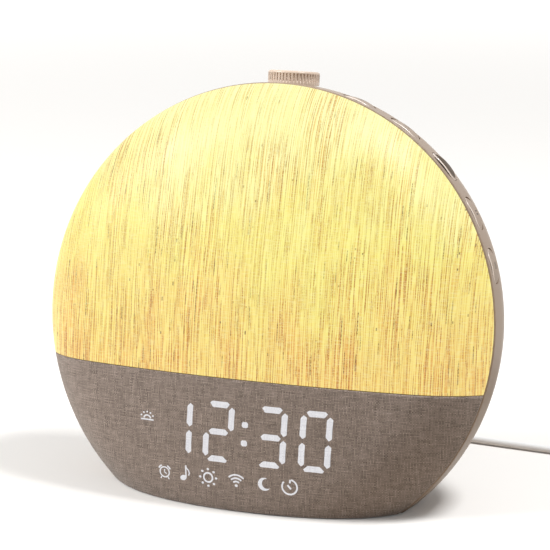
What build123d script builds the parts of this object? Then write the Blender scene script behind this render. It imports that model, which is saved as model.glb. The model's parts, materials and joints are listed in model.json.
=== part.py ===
"""Sunrise alarm clock: a thick round body that leans back on a flat foot.

The round face is a shallow dome. Its upper part is a lamp panel, its lower part is a stiff
baffle under cloth, and both snap into a barrel-shaped housing with a dished rear cover.
All lengths are millimetres. +Z is up, the face looks along -Y and the pad stands on Z = 0.

Places on the body are given in the face's own frame: x to the right, y up the face and z
towards the front, measured from the middle of the plane in which the face meets the housing.
"""

from math import asin, atan2, cos, pi, radians, sin, sqrt, tan
import os

from build123d import *

os.makedirs("parts", exist_ok=True)

# ---------------------------------------------------------------- overall form
FACE_RADIUS = 97.3  # edge of the round face
DOME_HEIGHT = 30.5  # crown of the face in front of its edge
CROWN_RADIUS = 283.0  # curve of the middle of the face
EDGE_SLOPE = 65.0  # degrees, how steeply the face falls to its edge
FACE_SKIRT = 1.0  # straight edge of the face behind the dome
FACE_TILT = 9.6  # degrees that the clock leans back
FOOT_CUT = 23.5  # height of the round face that the flat foot takes away
RIM_STEP = 0.5  # housing beyond the face's edge
HOUSING_WALL = 2.4
SHADOW_GAP = 0.5  # between the face's skirt and the housing's lip
LIP_RADIUS = 0.7  # rounding of the housing's front lip
STRAIGHT_RIM = 12.0  # cylindrical stretch of the housing, from the face's plane back
BACK_CURVE = 31.5  # rounding of the barrel into its back
PARTING_DEPTH = 34.0  # joint of the housing and the rear cover behind the face's plane
PARTING_GAP = 0.25
SPIGOT_REACH = 3.0  # rear cover's rib inside the housing
FLANGE_WIDTH = 8.0  # ring inside the housing that carries the lamp tray
PAD_PROUD = 0.5  # how far the pad lifts the clock's underside off the table

# ---------------------------------------------------------------- fits and fasteners
CLEAR = 0.3  # between parts that only pass each other
RUNNING = 0.05  # radial clearance of what turns or slides in a hole
SCREW_RADIUS = 1.25
SCREW_HOLE = 1.45
SCREW_HEAD_RADIUS = 2.4
SCREW_HEAD = 1.6
BOSS_RADIUS = 3.4
SCREW_LENGTH = 7.0
HOLE_SPARE = 1.0  # depth of a screw's hole beyond its tip
BASE_BOSS_HEIGHT = 10.0
BASE_BOSS_X = 57.0
FRONT_BOSS_X = 36.0
FRONT_BOSS_REACH = 6.5  # front bosses in front of the face's plane
FRONT_BOSS_HEIGHT = 7.0
BASE_FLANGE = 2.4  # floor of the baffle over the base plate

# ---------------------------------------------------------------- the face's skins
CLOTH_HEIGHT = 51.5  # foot of the face to the line between cloth and lamp panel
SEAM = 0.3  # width of the seam along that line
PANEL_WALL = 2.2
CLOTH = 0.6
CLOTH_SEAT = 0.05  # glue line under the cloth
BAFFLE_WALL = 2.0
TONGUE_WALL = 1.6  # rib of panel and baffle that goes inside the housing
TONGUE_DEPTH = 3.6

# ---------------------------------------------------------------- keys in the rim
KEY_COUNT = 5
FIRST_KEY = 17.4  # degrees above the right-hand side, middle of the lowest key
KEY_PITCH = 13.3  # degrees
THUMB_KEY = 2  # which of them is the scooped one, counted from the lowest
KEY_LENGTH = 15.0
KEY_WIDTH = 8.6
KEY_DEPTH = 9.3  # middle of the keys behind the face's plane
KEY_GAP = 0.3
KEY_CROWN = 0.5  # how far a key's middle stands proud of the rim
KEY_CROWN_RADIUS = 24.0
KEY_EDGE = 0.5  # rounding of a key's edge
KEY_RIM = 1.0  # flange that keeps a key in its slot
KEY_FLANGE_WALL = 1.0
KEY_TRAVEL = 0.4
STEM_RADIUS = 2.2
STEM_LENGTH = 1.1
THUMB_CROWN = 0.9  # the scooped key stands a little prouder
SCOOP_LENGTH = 12.6
SCOOP_WIDTH = 6.8
SCOOP_DEPTH = 1.3
SWITCH_SIDE = 6.0
SWITCH_HEIGHT = 3.2
PLUNGER_RADIUS = 1.75
PLUNGER_REACH = 1.0  # plunger above its switch
PLUNGER_SEAT = 0.9  # plunger inside its switch
KEY_BOARD_WALL = 0.6
BRACKET_WALL = 1.6
BRACKET_FRONT = 4.8  # bracket's front edge behind the face's plane
TAB_WALL = 1.4
TAB_ANGLE = 9.8  # degrees from the end keys to the bracket's screwed tabs
TAB_HALF = 2.4  # degrees

# ---------------------------------------------------------------- knob and encoder
KNOB_RADIUS = 10.8
KNOB_DEPTH = 18.4  # knob's axis behind the face's plane
KNOB_TOP = 5.2  # knob's top above the housing's radius
KNOB_SINK = 0.6  # knob's lower edge under the housing's radius
KNOB_WELL_GAP = 0.5  # round the knob in its well
KNOB_SKIRT = 1.5  # smooth band under the grip grooves
KNOB_BAND = 1.2  # smooth band over them
KNOB_EDGE = 1.0  # rounding of the knob's top
KNOB_GROOVES = 46
GROOVE_RADIUS = 0.36
KNOB_WALL = 1.6
KNOB_PRESS = 0.5
PEDESTAL_GAP = 0.7  # under the knob, more than its press
PEDESTAL_WALL = 2.6
ENCODER_SIDE = 12.0
ENCODER_HEIGHT = 6.5
ENCODER_SINK = 6.8  # top of the encoder's body below the housing's radius
ENCODER_WALL = 1.2
BUSH_RADIUS = 3.5
NUT_RADIUS = 5.2
NUT_HEIGHT = 2.0
NUT_ROOM = 1.8
SHAFT_RADIUS = 3.0
SHAFT_FLAT = 1.5
ROTOR_RADIUS = 4.4
ROTOR_HEIGHT = 2.6
ENCODER_BOARD_WALL = 1.2
ENCODER_BOARD_SIDE = 15.0

# ---------------------------------------------------------------- lamp
TRAY_WALL = 1.5
TRAY_MARGIN = 15.3  # tray's wall inside the face's edge
FLARE_MARGIN = 5.3  # mouth of the tray inside the face's edge
FLARE_START = 4.0  # where the tray's wall begins to open, behind the face's plane
TRAY_SCREW_ANGLES = (110.0, 142.0, 173.0)
LAMP_BOARD_MARGIN = 4.0  # lamp board inside the tray's wall
LAMP_SCREW_MARGIN = 6.0  # its screws inside its edge
LAMP_BOARD_WALL = 1.2
LED_SIDE = 3.5
LED_HEIGHT = 1.1
LED_MARGIN = 12.0  # outermost LEDs inside the lamp board's edge
LED_ARCS = (4, 8, 12)  # number of LEDs on each evenly spaced arc, from the inside
LAMP_SCREW_ANGLES = (20.0, 90.0, 160.0)
LAMP_SCREW_LENGTH = 4.0
LAMP_HEADER_X = -30.0

# ---------------------------------------------------------------- display
DIGIT_HALF_PAIR = 9.2  # from the middle of a pair of digits to each of them
PAIR_OFFSET = 20.45  # from the colon to the middle of each pair
DISPLAY_X = 3.85  # the colon
DISPLAY_RISE = 29.1  # middle of the digits above the foot of the face
DIGIT_WIDTH = 10.7  # between the middles of the upright bars
DIGIT_HEIGHT = 22.9  # between the middles of the top and bottom bars
BAR_LENGTH = 9.2
TOP_BAR_LENGTH = 8.3
BAR_WIDTH = 2.7
DIGIT_SLANT = 4.3  # degrees
COLON_SIDE = 2.4
COLON_SPREAD = 7.7
ICON_DROP = 19.9  # middle of the icons below the middle of the digits
ICON_PITCH = 11.1
ICON_FIRST = -32.6
ICON_COUNT = 6
ICON_RADIUS = 3.4
MARK_RADIUS = 2.2
MARK_PITCH = 7.7
MARK_X = -40.0  # the window of the morning mark
MARK_RISE = 2.9  # above the middle of the digits
WINDOW_MARGIN = 4.6
WINDOW_CORNER = 4.0
MASK_BACK = 13.5  # back of the light box in front of the face's plane
BOARD_WALL = 1.6
DISPLAY_LED = 1.6
DISPLAY_POST_RADIUS = 2.8
DISPLAY_POST_GAP = 4.2  # posts outside the light box
DISPLAY_POST_Y = 8.0  # above and below the light box's middle
DISPLAY_SCREW_LENGTH = 5.0

# ---------------------------------------------------------------- main board, socket, speaker
MAIN_BOARD_WIDTH = 100.0
MAIN_BOARD_HEIGHT = 44.0
MAIN_BOARD_RISE = 36.3  # middle of the board above the foot of the face
MAIN_BOARD_DEPTH = 21.0  # front of the board behind the face's plane
POST_INSET = 5.0
CHIPS = ((18.0, -4.0, 10.0), (37.0, -6.0, 7.0), (10.0, 9.0, 5.0))  # from the left end, y, side
CHIP_WALL = 1.6
CAPACITOR_INSET = 20.0  # from the board's right-hand end
CAPACITOR_RADIUS = 4.0
CAPACITOR_HEIGHT = 11.0
HEADER_LENGTH = 12.0
HEADER_WIDTH = 2.5
CONNECTOR_Y = 16.0  # above the board's middle
CONNECTOR_PITCH = 18.0
CONNECTOR_WIDTH = 5.0
CONNECTOR_HEIGHT = 6.0
CONNECTOR_WALL = 1.0
RIBBON_X = -20.0
RIBBON_WIDTH = 16.0
RIBBON_WALL = 0.5
BATTERY_INSET = 20.0  # from the board's right-hand end
BATTERY_RADIUS = 10.0
BATTERY_HEIGHT = 3.2
CLIP_WALL = 1.0
SOCKET_X = 10.0
SOCKET_DROP = 12.0  # below the middle of the main board
SOCKET_WIDTH = 9.5
SOCKET_LENGTH = 12.0
SOCKET_BORE = 2.85
SOCKET_PIN = 1.0
PLUG_BARREL = 2.75
PLUG_BORE = 1.15
PLUG_REACH = 9.0
SPEAKER_RISE = 60.5  # above the middle of the main board
SPEAKER_RADIUS = 31.0
SPEAKER_MOUTH = 22.5
SPEAKER_WALL = 1.4
SPEAKER_SEAT = 5.0  # height of the ring that the speaker stands on
GASKET = 1.0
BASKET_DEPTH = 7.0
MAGNET_RADIUS = 14.0
MAGNET_HEIGHT = 5.5
BASKET_WINDOWS = 6
ROLL_WIDTH = 3.6  # surround of the cone
ROLL_HEIGHT = 1.4
SURROUND_WALL = 0.6
COIL_FORMER = 8.0  # radius of the voice coil
CONE_SLOPE = 15.0  # degrees
CAP_HEIGHT = 1.6
SPEAKER_SCREW_INSET = 3.4  # from the edge of the speaker's flange
SLOT_WIDTH = 2.0
SLOT_PITCH = 4.1

# ---------------------------------------------------------------- base
BASE_WALL = 2.6
PAD_WALL = 1.6
PAD_LENGTH = 84.0
PAD_WIDTH = 38.0
PAD_RIBS = 2
PAD_RIB_PITCH = 7.0
PAD_SLOT = 1.2
REAR_SCREW_MARGIN = 18.3  # rear screws inside the housing's radius
REAR_SCREW_ANGLES = (35.0, 145.0, 213.0, 327.0)
WELL_RADIUS = 3.1
WELL_WALL = 1.5

# ---------------------------------------------------------------- the lead
CORD_RADIUS = 1.6
PLUG_RADIUS = 4.6
PLUG_BODY = 13.0
PLUG_EDGE = 1.15
RELIEF_LENGTH = 15.0
RELIEF_START = 3.45
RELIEF_END = 2.16
RELIEF_GROOVES = 5
RELIEF_CUT = 0.9
CORD_EXIT_RUN = 11.0
BEND_SHARE = 0.45  # of the shorter run beside a bend that the bend takes
COIL_RADIUS = 19.2  # middle of the turns
COIL_TURNS_WIDE = 4
COIL_LAYERS = 3
COIL_CENTRE = (146.0, 99.0)
COIL_PITCH = 3.3
USB_LENGTH = 30.0
USB_SHIFT = 8.0  # plug on the coil, left of the coil's middle
USB_WIDTH = 16.0
USB_HEIGHT = 8.0
USB_CORNER = 2.5
USB_SHELL_LENGTH = 12.0
USB_SHELL_WIDTH = 11.8
USB_SHELL_HEIGHT = 4.5
USB_SHELL_WALL = 0.4
USB_TONGUE = 1.8

# ================================================================ worked-out frame
tilt = radians(FACE_TILT)
centre_height = FACE_RADIUS - FOOT_CUT
housing_radius = FACE_RADIUS + RIM_STEP
crown_centre = DOME_HEIGHT - CROWN_RADIUS
# The body's foremost point is on the crown and its rearmost on the rounded back. The origin is
# midway between them.
front_reach = CROWN_RADIUS + crown_centre * cos(tilt)
back_reach = (housing_radius - BACK_CURVE) * sin(tilt) + STRAIGHT_RIM * cos(tilt) + BACK_CURVE
face_y = (front_reach - back_reach) / 2

FACE = Plane(origin=(0, face_y, centre_height), x_dir=(1, 0, 0), z_dir=(0, -cos(tilt), sin(tilt)))
FACE_AXIS = Axis(FACE.origin, FACE.z_dir)
UNDERSIDE = Plane.XY.offset(PAD_PROUD)


def radial(angle):
    """Direction in the face's plane, degrees from the right-hand side towards the top."""
    return FACE.x_dir * cos(radians(angle)) + FACE.y_dir * sin(radians(angle))


def section(angle=0.0):
    """Half plane through the face's axis: its x is the radius and its y is towards the front."""
    return Plane(origin=FACE.origin, x_dir=radial(angle), z_dir=radial(angle - 90))


def rim_plane(angle, radius, depth):
    """Plane square to the rim: its x runs round the rim, its y to the front, its z outwards."""
    origin = FACE.origin + radial(angle) * radius - FACE.z_dir * depth
    return Plane(origin=origin, x_dir=radial(angle + 90), z_dir=radial(angle))


def across(y):
    """Plane across the face at height y, looking up it."""
    return Plane(origin=FACE.origin + FACE.y_dir * y, x_dir=(1, 0, 0), z_dir=FACE.y_dir)


def polar(radius, angle):
    return (radius * cos(radians(angle)), radius * sin(radians(angle)))


def knob_plane(radius):
    """Plane square to the knob's axis at that distance from the face's axis."""
    return rim_plane(90, radius, KNOB_DEPTH)


# ---------------------------------------------------------------- the dome's outline
# The shoulder arc ends at the face's edge with the edge slope and runs smoothly into the crown.
slope = radians(EDGE_SLOPE)
shoulder_radius = (CROWN_RADIUS**2 - FACE_RADIUS**2 - crown_centre**2) / (
    2 * (CROWN_RADIUS - FACE_RADIUS * sin(slope) + crown_centre * cos(slope))
)
shoulder_x = FACE_RADIUS - shoulder_radius * sin(slope)
shoulder_y = -shoulder_radius * cos(slope)
join_angle = atan2(shoulder_x, shoulder_y - crown_centre)


def crown_point(inset, angle):
    reach = CROWN_RADIUS - inset
    return (reach * sin(angle), crown_centre + reach * cos(angle))


def shoulder_point(inset, angle):
    reach = shoulder_radius - inset
    return (shoulder_x + reach * sin(angle), shoulder_y + reach * cos(angle))


def shoulder_at(inset, radius):
    """Angle on the shoulder arc at which it has that radius from the face's axis."""
    return asin((radius - shoulder_x) / (shoulder_radius - inset))


def dome_line(inset, end_angle=slope):
    """The dome's two arcs, inset under its surface, from the axis out to end_angle."""
    ThreePointArc(
        crown_point(inset, 0), crown_point(inset, join_angle / 2), crown_point(inset, join_angle)
    )
    ThreePointArc(
        shoulder_point(inset, join_angle),
        shoulder_point(inset, (join_angle + end_angle) / 2),
        shoulder_point(inset, end_angle),
    )


def dome_depth(inset, radius):
    """Height of the dome, inset under its surface, in front of the face's plane."""
    if radius < crown_point(inset, join_angle)[0]:
        return crown_centre + sqrt((CROWN_RADIUS - inset) ** 2 - radius**2)
    return shoulder_point(inset, shoulder_at(inset, radius))[1]


# ---------------------------------------------------------------- the barrel's outline
barrel_x = housing_radius - BACK_CURVE
parting_angle = asin((PARTING_DEPTH - STRAIGHT_RIM) / BACK_CURVE)


def barrel_point(inset, angle):
    """Point on the barrel's rounding, angle measured from the rim's side towards the back."""
    reach = BACK_CURVE - inset
    return (barrel_x + reach * cos(angle), -STRAIGHT_RIM - reach * sin(angle))


def barrel_arc(inset, start, end):
    ThreePointArc(
        barrel_point(inset, start), barrel_point(inset, (start + end) / 2), barrel_point(inset, end)
    )


def body_volume(face_inset, barrel_inset):
    """The whole clock as one solid, inset under the face and under the housing."""
    wall_x = housing_radius - barrel_inset
    edge = shoulder_point(face_inset, slope)
    with BuildPart() as volume:
        with BuildSketch(section()):
            with BuildLine():
                dome_line(face_inset)
                Polyline(edge, (wall_x, edge[1]), (wall_x, -STRAIGHT_RIM))
                barrel_arc(barrel_inset, 0, pi / 2)
                Polyline(
                    barrel_point(barrel_inset, pi / 2),
                    (0, barrel_point(barrel_inset, pi / 2)[1]),
                    crown_point(face_inset, 0),
                )
            make_face()
        revolve(axis=FACE_AXIS)
    return volume.part


# ---------------------------------------------------------------- worked-out sizes
def floor_y(depth, z):
    """Y of the point of the body's middle plane at that height and depth behind the face."""
    up_face = (z - centre_height + depth * sin(tilt)) / cos(tilt)
    return face_y + up_face * sin(tilt) + depth * cos(tilt)


def side_by_side(x, y):
    return ((-x, y), (x, y))


inner_radius = housing_radius - HOUSING_WALL
divider_y = CLOTH_HEIGHT - centre_height
display_y = DISPLAY_RISE - centre_height
icon_y = display_y - ICON_DROP
mark_y = display_y + MARK_RISE
main_board_y = MAIN_BOARD_RISE - centre_height
socket_y = main_board_y - SOCKET_DROP
speaker_y = main_board_y + SPEAKER_RISE
tongue_radius = inner_radius - CLEAR
lip_depth = FACE_SKIRT + SHADOW_GAP
back_depth = STRAIGHT_RIM + BACK_CURVE
back_inside = back_depth - HOUSING_WALL
cover_angle = asin((PARTING_DEPTH + PARTING_GAP - STRAIGHT_RIM) / BACK_CURVE)
spigot_radius = barrel_point(HOUSING_WALL, parting_angle)[0] - CLEAR
well_floor = PARTING_DEPTH + 1.0
tray_front = KEY_DEPTH + KEY_WIDTH / 2 + KEY_RIM + CLEAR
tray_back = tray_front + TRAY_WALL
tray_sill = divider_y + SEAM / 2 + CLEAR
cloth_inset = CLOTH + CLOTH_SEAT
baffle_inset = cloth_inset + BAFFLE_WALL

# Base
base_top = PAD_PROUD + BASE_WALL
pad_y = (floor_y(-FRONT_BOSS_REACH, base_top) + floor_y(PARTING_DEPTH, base_top)) / 2
side_bosses = side_by_side(BASE_BOSS_X, floor_y(tray_back + HOUSING_WALL / 2, base_top + BASE_BOSS_HEIGHT / 2))
front_bosses = side_by_side(FRONT_BOSS_X, floor_y(-FRONT_BOSS_REACH, base_top))
flange_edge = floor_y(-FRONT_BOSS_REACH, base_top) + BOSS_RADIUS
base_screw_places = side_bosses + front_bosses
rear_screw_circle = housing_radius - REAR_SCREW_MARGIN
rear_screw_places = [polar(rear_screw_circle, angle) for angle in REAR_SCREW_ANGLES]

# Key stack, from the housing's wall inwards
key_angles = [FIRST_KEY + i * KEY_PITCH for i in range(KEY_COUNT)]
tab_angles = (key_angles[0] - TAB_ANGLE, key_angles[-1] + TAB_ANGLE)
key_flange_top = sqrt(inner_radius**2 - (KEY_LENGTH / 2 + KEY_RIM) ** 2) - CLEAR
key_flange_bottom = key_flange_top - KEY_FLANGE_WALL
stem_bottom = key_flange_bottom - STEM_LENGTH
switch_top = stem_bottom - PLUNGER_REACH
switch_bottom = switch_top - SWITCH_HEIGHT
key_board_radius = switch_bottom - KEY_BOARD_WALL
bracket_inside = key_board_radius - BRACKET_WALL

# Knob stack, from the pedestal's top inwards
knob_bottom = housing_radius - KNOB_SINK
knob_well = KNOB_RADIUS + KNOB_WELL_GAP
knob_top = housing_radius + KNOB_TOP
pedestal_top = knob_bottom - PEDESTAL_GAP
encoder_top = housing_radius - ENCODER_SINK
nut_seat = encoder_top + PEDESTAL_WALL
bush_top = nut_seat + NUT_HEIGHT + CLEAR
encoder_bottom = encoder_top - ENCODER_HEIGHT
rotor_top = encoder_top - ENCODER_WALL - CLEAR
rotor_bottom = rotor_top - ROTOR_HEIGHT
encoder_room = ENCODER_SIDE + 4 * CLEAR
shaft_top = knob_top - KNOB_WALL

# Lamp
tray_radius = FACE_RADIUS - TRAY_MARGIN
tray_flare = FACE_RADIUS - FLARE_MARGIN
lamp_board_radius = tray_radius - LAMP_BOARD_MARGIN
lamp_screw_circle = lamp_board_radius - LAMP_SCREW_MARGIN
tray_edge = inner_radius - HOUSING_WALL
tray_screw_radius = (tray_edge + key_board_radius) / 2
tab_screw_places = [polar(tray_screw_radius, angle) for angle in tab_angles]
tray_screw_places = [polar(tray_screw_radius, angle) for angle in TRAY_SCREW_ANGLES]
lamp_board_sill = tray_sill + TRAY_WALL + CLEAR
lamp_board_screws = [polar(lamp_screw_circle, angle) for angle in LAMP_SCREW_ANGLES]
lamp_header_y = lamp_board_sill + HEADER_WIDTH / 2 + CLEAR
tray_screw_length = TRAY_WALL + HOUSING_WALL + SCREW_RADIUS
tab_screw_length = tray_screw_length + TAB_WALL

# Display
window_left = MARK_X - WINDOW_MARGIN
window_right = DISPLAY_X + PAIR_OFFSET + DIGIT_HALF_PAIR + DIGIT_WIDTH / 2 + WINDOW_MARGIN
window_top = display_y + DIGIT_HEIGHT / 2 + WINDOW_MARGIN
window_bottom = icon_y - ICON_RADIUS - COLON_SIDE
window_size = (window_right - window_left, window_top - window_bottom)
window_centre = ((window_left + window_right) / 2, (window_top + window_bottom) / 2)
display_posts = [
    (
        window_centre[0] + side * (window_size[0] / 2 + DISPLAY_POST_GAP),
        window_centre[1] + end * DISPLAY_POST_Y,
    )
    for side in (-1, 1)
    for end in (-1, 1)
]

# Rear
main_board_back = MAIN_BOARD_DEPTH + BOARD_WALL
battery_x = MAIN_BOARD_WIDTH / 2 - BATTERY_INSET
board_posts = [
    (
        side * (MAIN_BOARD_WIDTH / 2 - POST_INSET),
        main_board_y + end * (MAIN_BOARD_HEIGHT / 2 - POST_INSET),
    )
    for side in (-1, 1)
    for end in (-1, 1)
]
speaker_back = back_inside - SPEAKER_SEAT - GASKET  # back face of the speaker's flange
speaker_screw_circle = SPEAKER_RADIUS - SPEAKER_SCREW_INSET
speaker_screw_places = [
    (side * speaker_screw_circle * cos(pi / 4), speaker_y + end * speaker_screw_circle * sin(pi / 4))
    for side in (-1, 1)
    for end in (-1, 1)
]
cone_radius = SPEAKER_MOUTH - ROLL_WIDTH
cone_depth = (cone_radius - COIL_FORMER) * tan(radians(CONE_SLOPE))
slot_rows = int((SPEAKER_MOUTH - 2 * SLOT_WIDTH) / SLOT_PITCH)


def save(builder, name):
    builder.part.label = name
    export_step(builder.part, f"parts/{name}.step")


def screws(places, plane, head_side, length, name):
    """Pan-head screws with their heads on plane; head_side is +1 or -1 along its normal."""
    with BuildPart() as group:
        with BuildSketch(plane):
            with Locations(*places):
                Circle(SCREW_HEAD_RADIUS)
        extrude(amount=head_side * SCREW_HEAD)
        with BuildSketch(plane):
            with Locations(*places):
                Circle(SCREW_RADIUS)
        extrude(amount=-head_side * length)
    save(group, name)


def below(solid, height):
    """The part of a solid that lies under that height above the table."""
    with BuildPart() as lower:
        add(solid)
        split(bisect_by=Plane.XY.offset(height), keep=Keep.BOTTOM)
    return lower.part


base_slot = below(body_volume(baffle_inset, HOUSING_WALL), base_top + CLEAR)
base_inside = body_volume(baffle_inset + CLEAR, HOUSING_WALL + CLEAR)

# ================================================================ housing
# Columns for the rear cover's screws, webbed to the housing's wall
with BuildPart() as rear_columns:
    with BuildSketch(FACE.offset(-tray_back)):
        with Locations(*rear_screw_places):
            Circle(BOSS_RADIUS)
    extrude(amount=tray_back + CLEAR - well_floor)
    with BuildSketch(FACE.offset(-tray_back)):
        for angle, place in zip(REAR_SCREW_ANGLES, rear_screw_places):
            with Locations(Location((*place, 0), (0, 0, angle))):
                Rectangle(inner_radius, BOSS_RADIUS, align=(Align.MIN, Align.CENTER))
    extrude(amount=tray_back + SPIGOT_REACH + CLEAR - PARTING_DEPTH)
    add(body_volume(0, HOUSING_WALL / 2), mode=Mode.INTERSECT)

with BuildPart() as main_housing:
    with BuildSketch(section()):
        with BuildLine():
            Line(barrel_point(HOUSING_WALL, parting_angle), barrel_point(0, parting_angle))
            barrel_arc(0, parting_angle, 0)
            Polyline(
                (housing_radius, -STRAIGHT_RIM),
                (housing_radius, -lip_depth),
                (inner_radius, -lip_depth),
                (inner_radius, -STRAIGHT_RIM),
            )
            barrel_arc(HOUSING_WALL, 0, parting_angle)
        wall = make_face()
        fillet(wall.vertices().sort_by(Axis.X)[-2:].sort_by(Axis.Y)[-1:], LIP_RADIUS)
    revolve(axis=FACE_AXIS)
    # ring that carries the lamp tray
    with BuildSketch(FACE.offset(-tray_back)):
        Circle(inner_radius)
        Circle(inner_radius - FLANGE_WIDTH, mode=Mode.SUBTRACT)
    extrude(amount=-HOUSING_WALL)
    add(rear_columns.part)
    # bosses for the base plate's screws
    with BuildSketch(Plane.XY.offset(base_top + CLEAR)):
        with Locations(*side_bosses):
            Circle(BOSS_RADIUS)
    extrude(amount=BASE_BOSS_HEIGHT)
    # pedestal of the knob and the encoder's pad
    with BuildSketch(knob_plane(encoder_top)):
        Circle(knob_well)
    extrude(amount=pedestal_top - encoder_top)
    with BuildSketch(knob_plane(pedestal_top)):
        Circle(knob_well)
    extrude(amount=KNOB_RADIUS, mode=Mode.SUBTRACT)
    with BuildSketch(knob_plane(pedestal_top)):
        Circle(NUT_RADIUS + NUT_ROOM)
    extrude(amount=nut_seat - pedestal_top, mode=Mode.SUBTRACT)
    with BuildSketch(knob_plane(encoder_top - SHAFT_RADIUS)):
        Circle(BUSH_RADIUS + CLEAR / 2)
    extrude(amount=pedestal_top, mode=Mode.SUBTRACT)
    with BuildSketch(knob_plane(encoder_top)):
        Rectangle(encoder_room, encoder_room)
    extrude(amount=-ENCODER_HEIGHT - 2 * ENCODER_WALL, mode=Mode.SUBTRACT)
    # slots of the keys
    for angle in key_angles:
        with BuildSketch(rim_plane(angle, key_flange_top, KEY_DEPTH)):
            SlotOverall(KEY_LENGTH, KEY_WIDTH)
        extrude(amount=2 * HOUSING_WALL + THUMB_CROWN, mode=Mode.SUBTRACT)
    # screw holes
    with BuildSketch(FACE.offset(-tray_back)):
        with Locations(*tab_screw_places, *tray_screw_places):
            Circle(SCREW_HOLE)
    extrude(amount=-HOUSING_WALL, mode=Mode.SUBTRACT)
    with BuildSketch(FACE.offset(-(well_floor - CLEAR))):
        with Locations(*rear_screw_places):
            Circle(SCREW_HOLE)
    extrude(amount=SCREW_LENGTH + HOLE_SPARE, mode=Mode.SUBTRACT)
    with BuildSketch(Plane.XY.offset(base_top)):
        with Locations(*side_bosses):
            Circle(SCREW_HOLE)
    extrude(amount=SCREW_LENGTH + HOLE_SPARE, mode=Mode.SUBTRACT)
    add(base_slot, mode=Mode.SUBTRACT)
    split(bisect_by=UNDERSIDE, keep=Keep.TOP)
save(main_housing, "main_housing")

# ================================================================ rear cover
with BuildPart() as rear_cover:
    with BuildSketch(section()):
        with BuildLine():
            barrel_arc(0, cover_angle, pi / 2)
            Polyline(
                barrel_point(0, pi / 2),
                (0, -back_depth),
                (0, -back_inside),
                barrel_point(HOUSING_WALL, pi / 2),
            )
            barrel_arc(HOUSING_WALL, pi / 2, cover_angle)
            Line(barrel_point(HOUSING_WALL, cover_angle), barrel_point(0, cover_angle))
        make_face()
    revolve(axis=FACE_AXIS)
    # spigot inside the housing
    with BuildSketch(FACE.offset(-PARTING_DEPTH + SPIGOT_REACH)):
        Circle(spigot_radius)
        Circle(spigot_radius - TONGUE_WALL, mode=Mode.SUBTRACT)
    extrude(amount=-SPIGOT_REACH - HOUSING_WALL)
    # wells for the sunk screws
    with BuildSketch(FACE.offset(-well_floor)):
        with Locations(*rear_screw_places):
            Circle(WELL_RADIUS + WELL_WALL)
    extrude(amount=-back_depth + well_floor)
    # ring and posts under the speaker
    with BuildSketch(FACE.offset(-back_inside)):
        with Locations((0, speaker_y)):
            Circle(SPEAKER_MOUTH + TONGUE_WALL)
            Circle(SPEAKER_MOUTH, mode=Mode.SUBTRACT)
        with Locations(*speaker_screw_places):
            Circle(BOSS_RADIUS)
    extrude(amount=SPEAKER_SEAT)
    # posts of the main board
    with BuildSketch(FACE.offset(-back_inside)):
        with Locations(*board_posts):
            Circle(BOSS_RADIUS)
    extrude(amount=back_inside - main_board_back)
    add(body_volume(0, 0), mode=Mode.INTERSECT)
    split(bisect_by=UNDERSIDE, keep=Keep.TOP)
    add(base_slot, mode=Mode.SUBTRACT)
    # sound slots
    with BuildSketch(FACE.offset(-back_depth)):
        for row in range(-slot_rows, slot_rows + 1):
            half = sqrt((SPEAKER_MOUTH - SLOT_WIDTH) ** 2 - (row * SLOT_PITCH) ** 2)
            with Locations((0, speaker_y + row * SLOT_PITCH)):
                SlotOverall(2 * half, SLOT_WIDTH)
    extrude(amount=HOUSING_WALL, mode=Mode.SUBTRACT)
    # power socket's mouth
    with BuildSketch(FACE.offset(-back_depth)):
        with Locations((SOCKET_X, socket_y)):
            Circle(SOCKET_BORE + CLEAR)
    extrude(amount=HOUSING_WALL, mode=Mode.SUBTRACT)
    # wells and screw holes
    with BuildSketch(FACE.offset(-well_floor - HOUSING_WALL)):
        with Locations(*rear_screw_places):
            Circle(WELL_RADIUS)
    extrude(amount=-back_depth, mode=Mode.SUBTRACT)
    with BuildSketch(FACE.offset(-well_floor)):
        with Locations(*rear_screw_places):
            Circle(SCREW_HOLE)
    extrude(amount=-HOUSING_WALL, mode=Mode.SUBTRACT)
    with BuildSketch(FACE.offset(-main_board_back)):
        with Locations(*board_posts):
            Circle(SCREW_HOLE)
    extrude(amount=-SCREW_LENGTH - HOLE_SPARE, mode=Mode.SUBTRACT)
    with BuildSketch(FACE.offset(-back_inside + SPEAKER_SEAT)):
        with Locations(*speaker_screw_places):
            Circle(SCREW_HOLE)
    extrude(amount=-SPEAKER_SEAT, mode=Mode.SUBTRACT)
save(rear_cover, "rear_cover")

# ================================================================ base
with BuildPart() as base_plate:
    add(base_inside)
    split(bisect_by=UNDERSIDE, keep=Keep.TOP)
    split(bisect_by=Plane.XY.offset(base_top), keep=Keep.BOTTOM)
    with BuildSketch(UNDERSIDE):
        with Locations((0, pad_y)):
            SlotOverall(PAD_LENGTH + 2 * CLEAR, PAD_WIDTH + 2 * CLEAR)
    extrude(amount=PAD_WALL - PAD_PROUD, mode=Mode.SUBTRACT)
    with BuildSketch(UNDERSIDE):
        with Locations(*base_screw_places):
            Circle(SCREW_HOLE)
    extrude(amount=BASE_WALL, mode=Mode.SUBTRACT)
    with BuildSketch(UNDERSIDE):
        with Locations(*base_screw_places):
            Circle(SCREW_HEAD_RADIUS + CLEAR)
    extrude(amount=SCREW_HEAD, mode=Mode.SUBTRACT)
save(base_plate, "base_plate")

with BuildPart() as base_pad:
    with BuildSketch(Plane.XY):
        with Locations((0, pad_y)):
            SlotOverall(PAD_LENGTH, PAD_WIDTH)
    extrude(amount=PAD_WALL)
    with BuildSketch(Plane.XY):
        for row in range(-PAD_RIBS, PAD_RIBS + 1):
            with Locations((0, pad_y + row * PAD_RIB_PITCH)):
                SlotOverall(PAD_LENGTH - PAD_WIDTH, PAD_SLOT)
    extrude(amount=PAD_PROUD / 2, mode=Mode.SUBTRACT)
save(base_pad, "base_pad")

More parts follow.
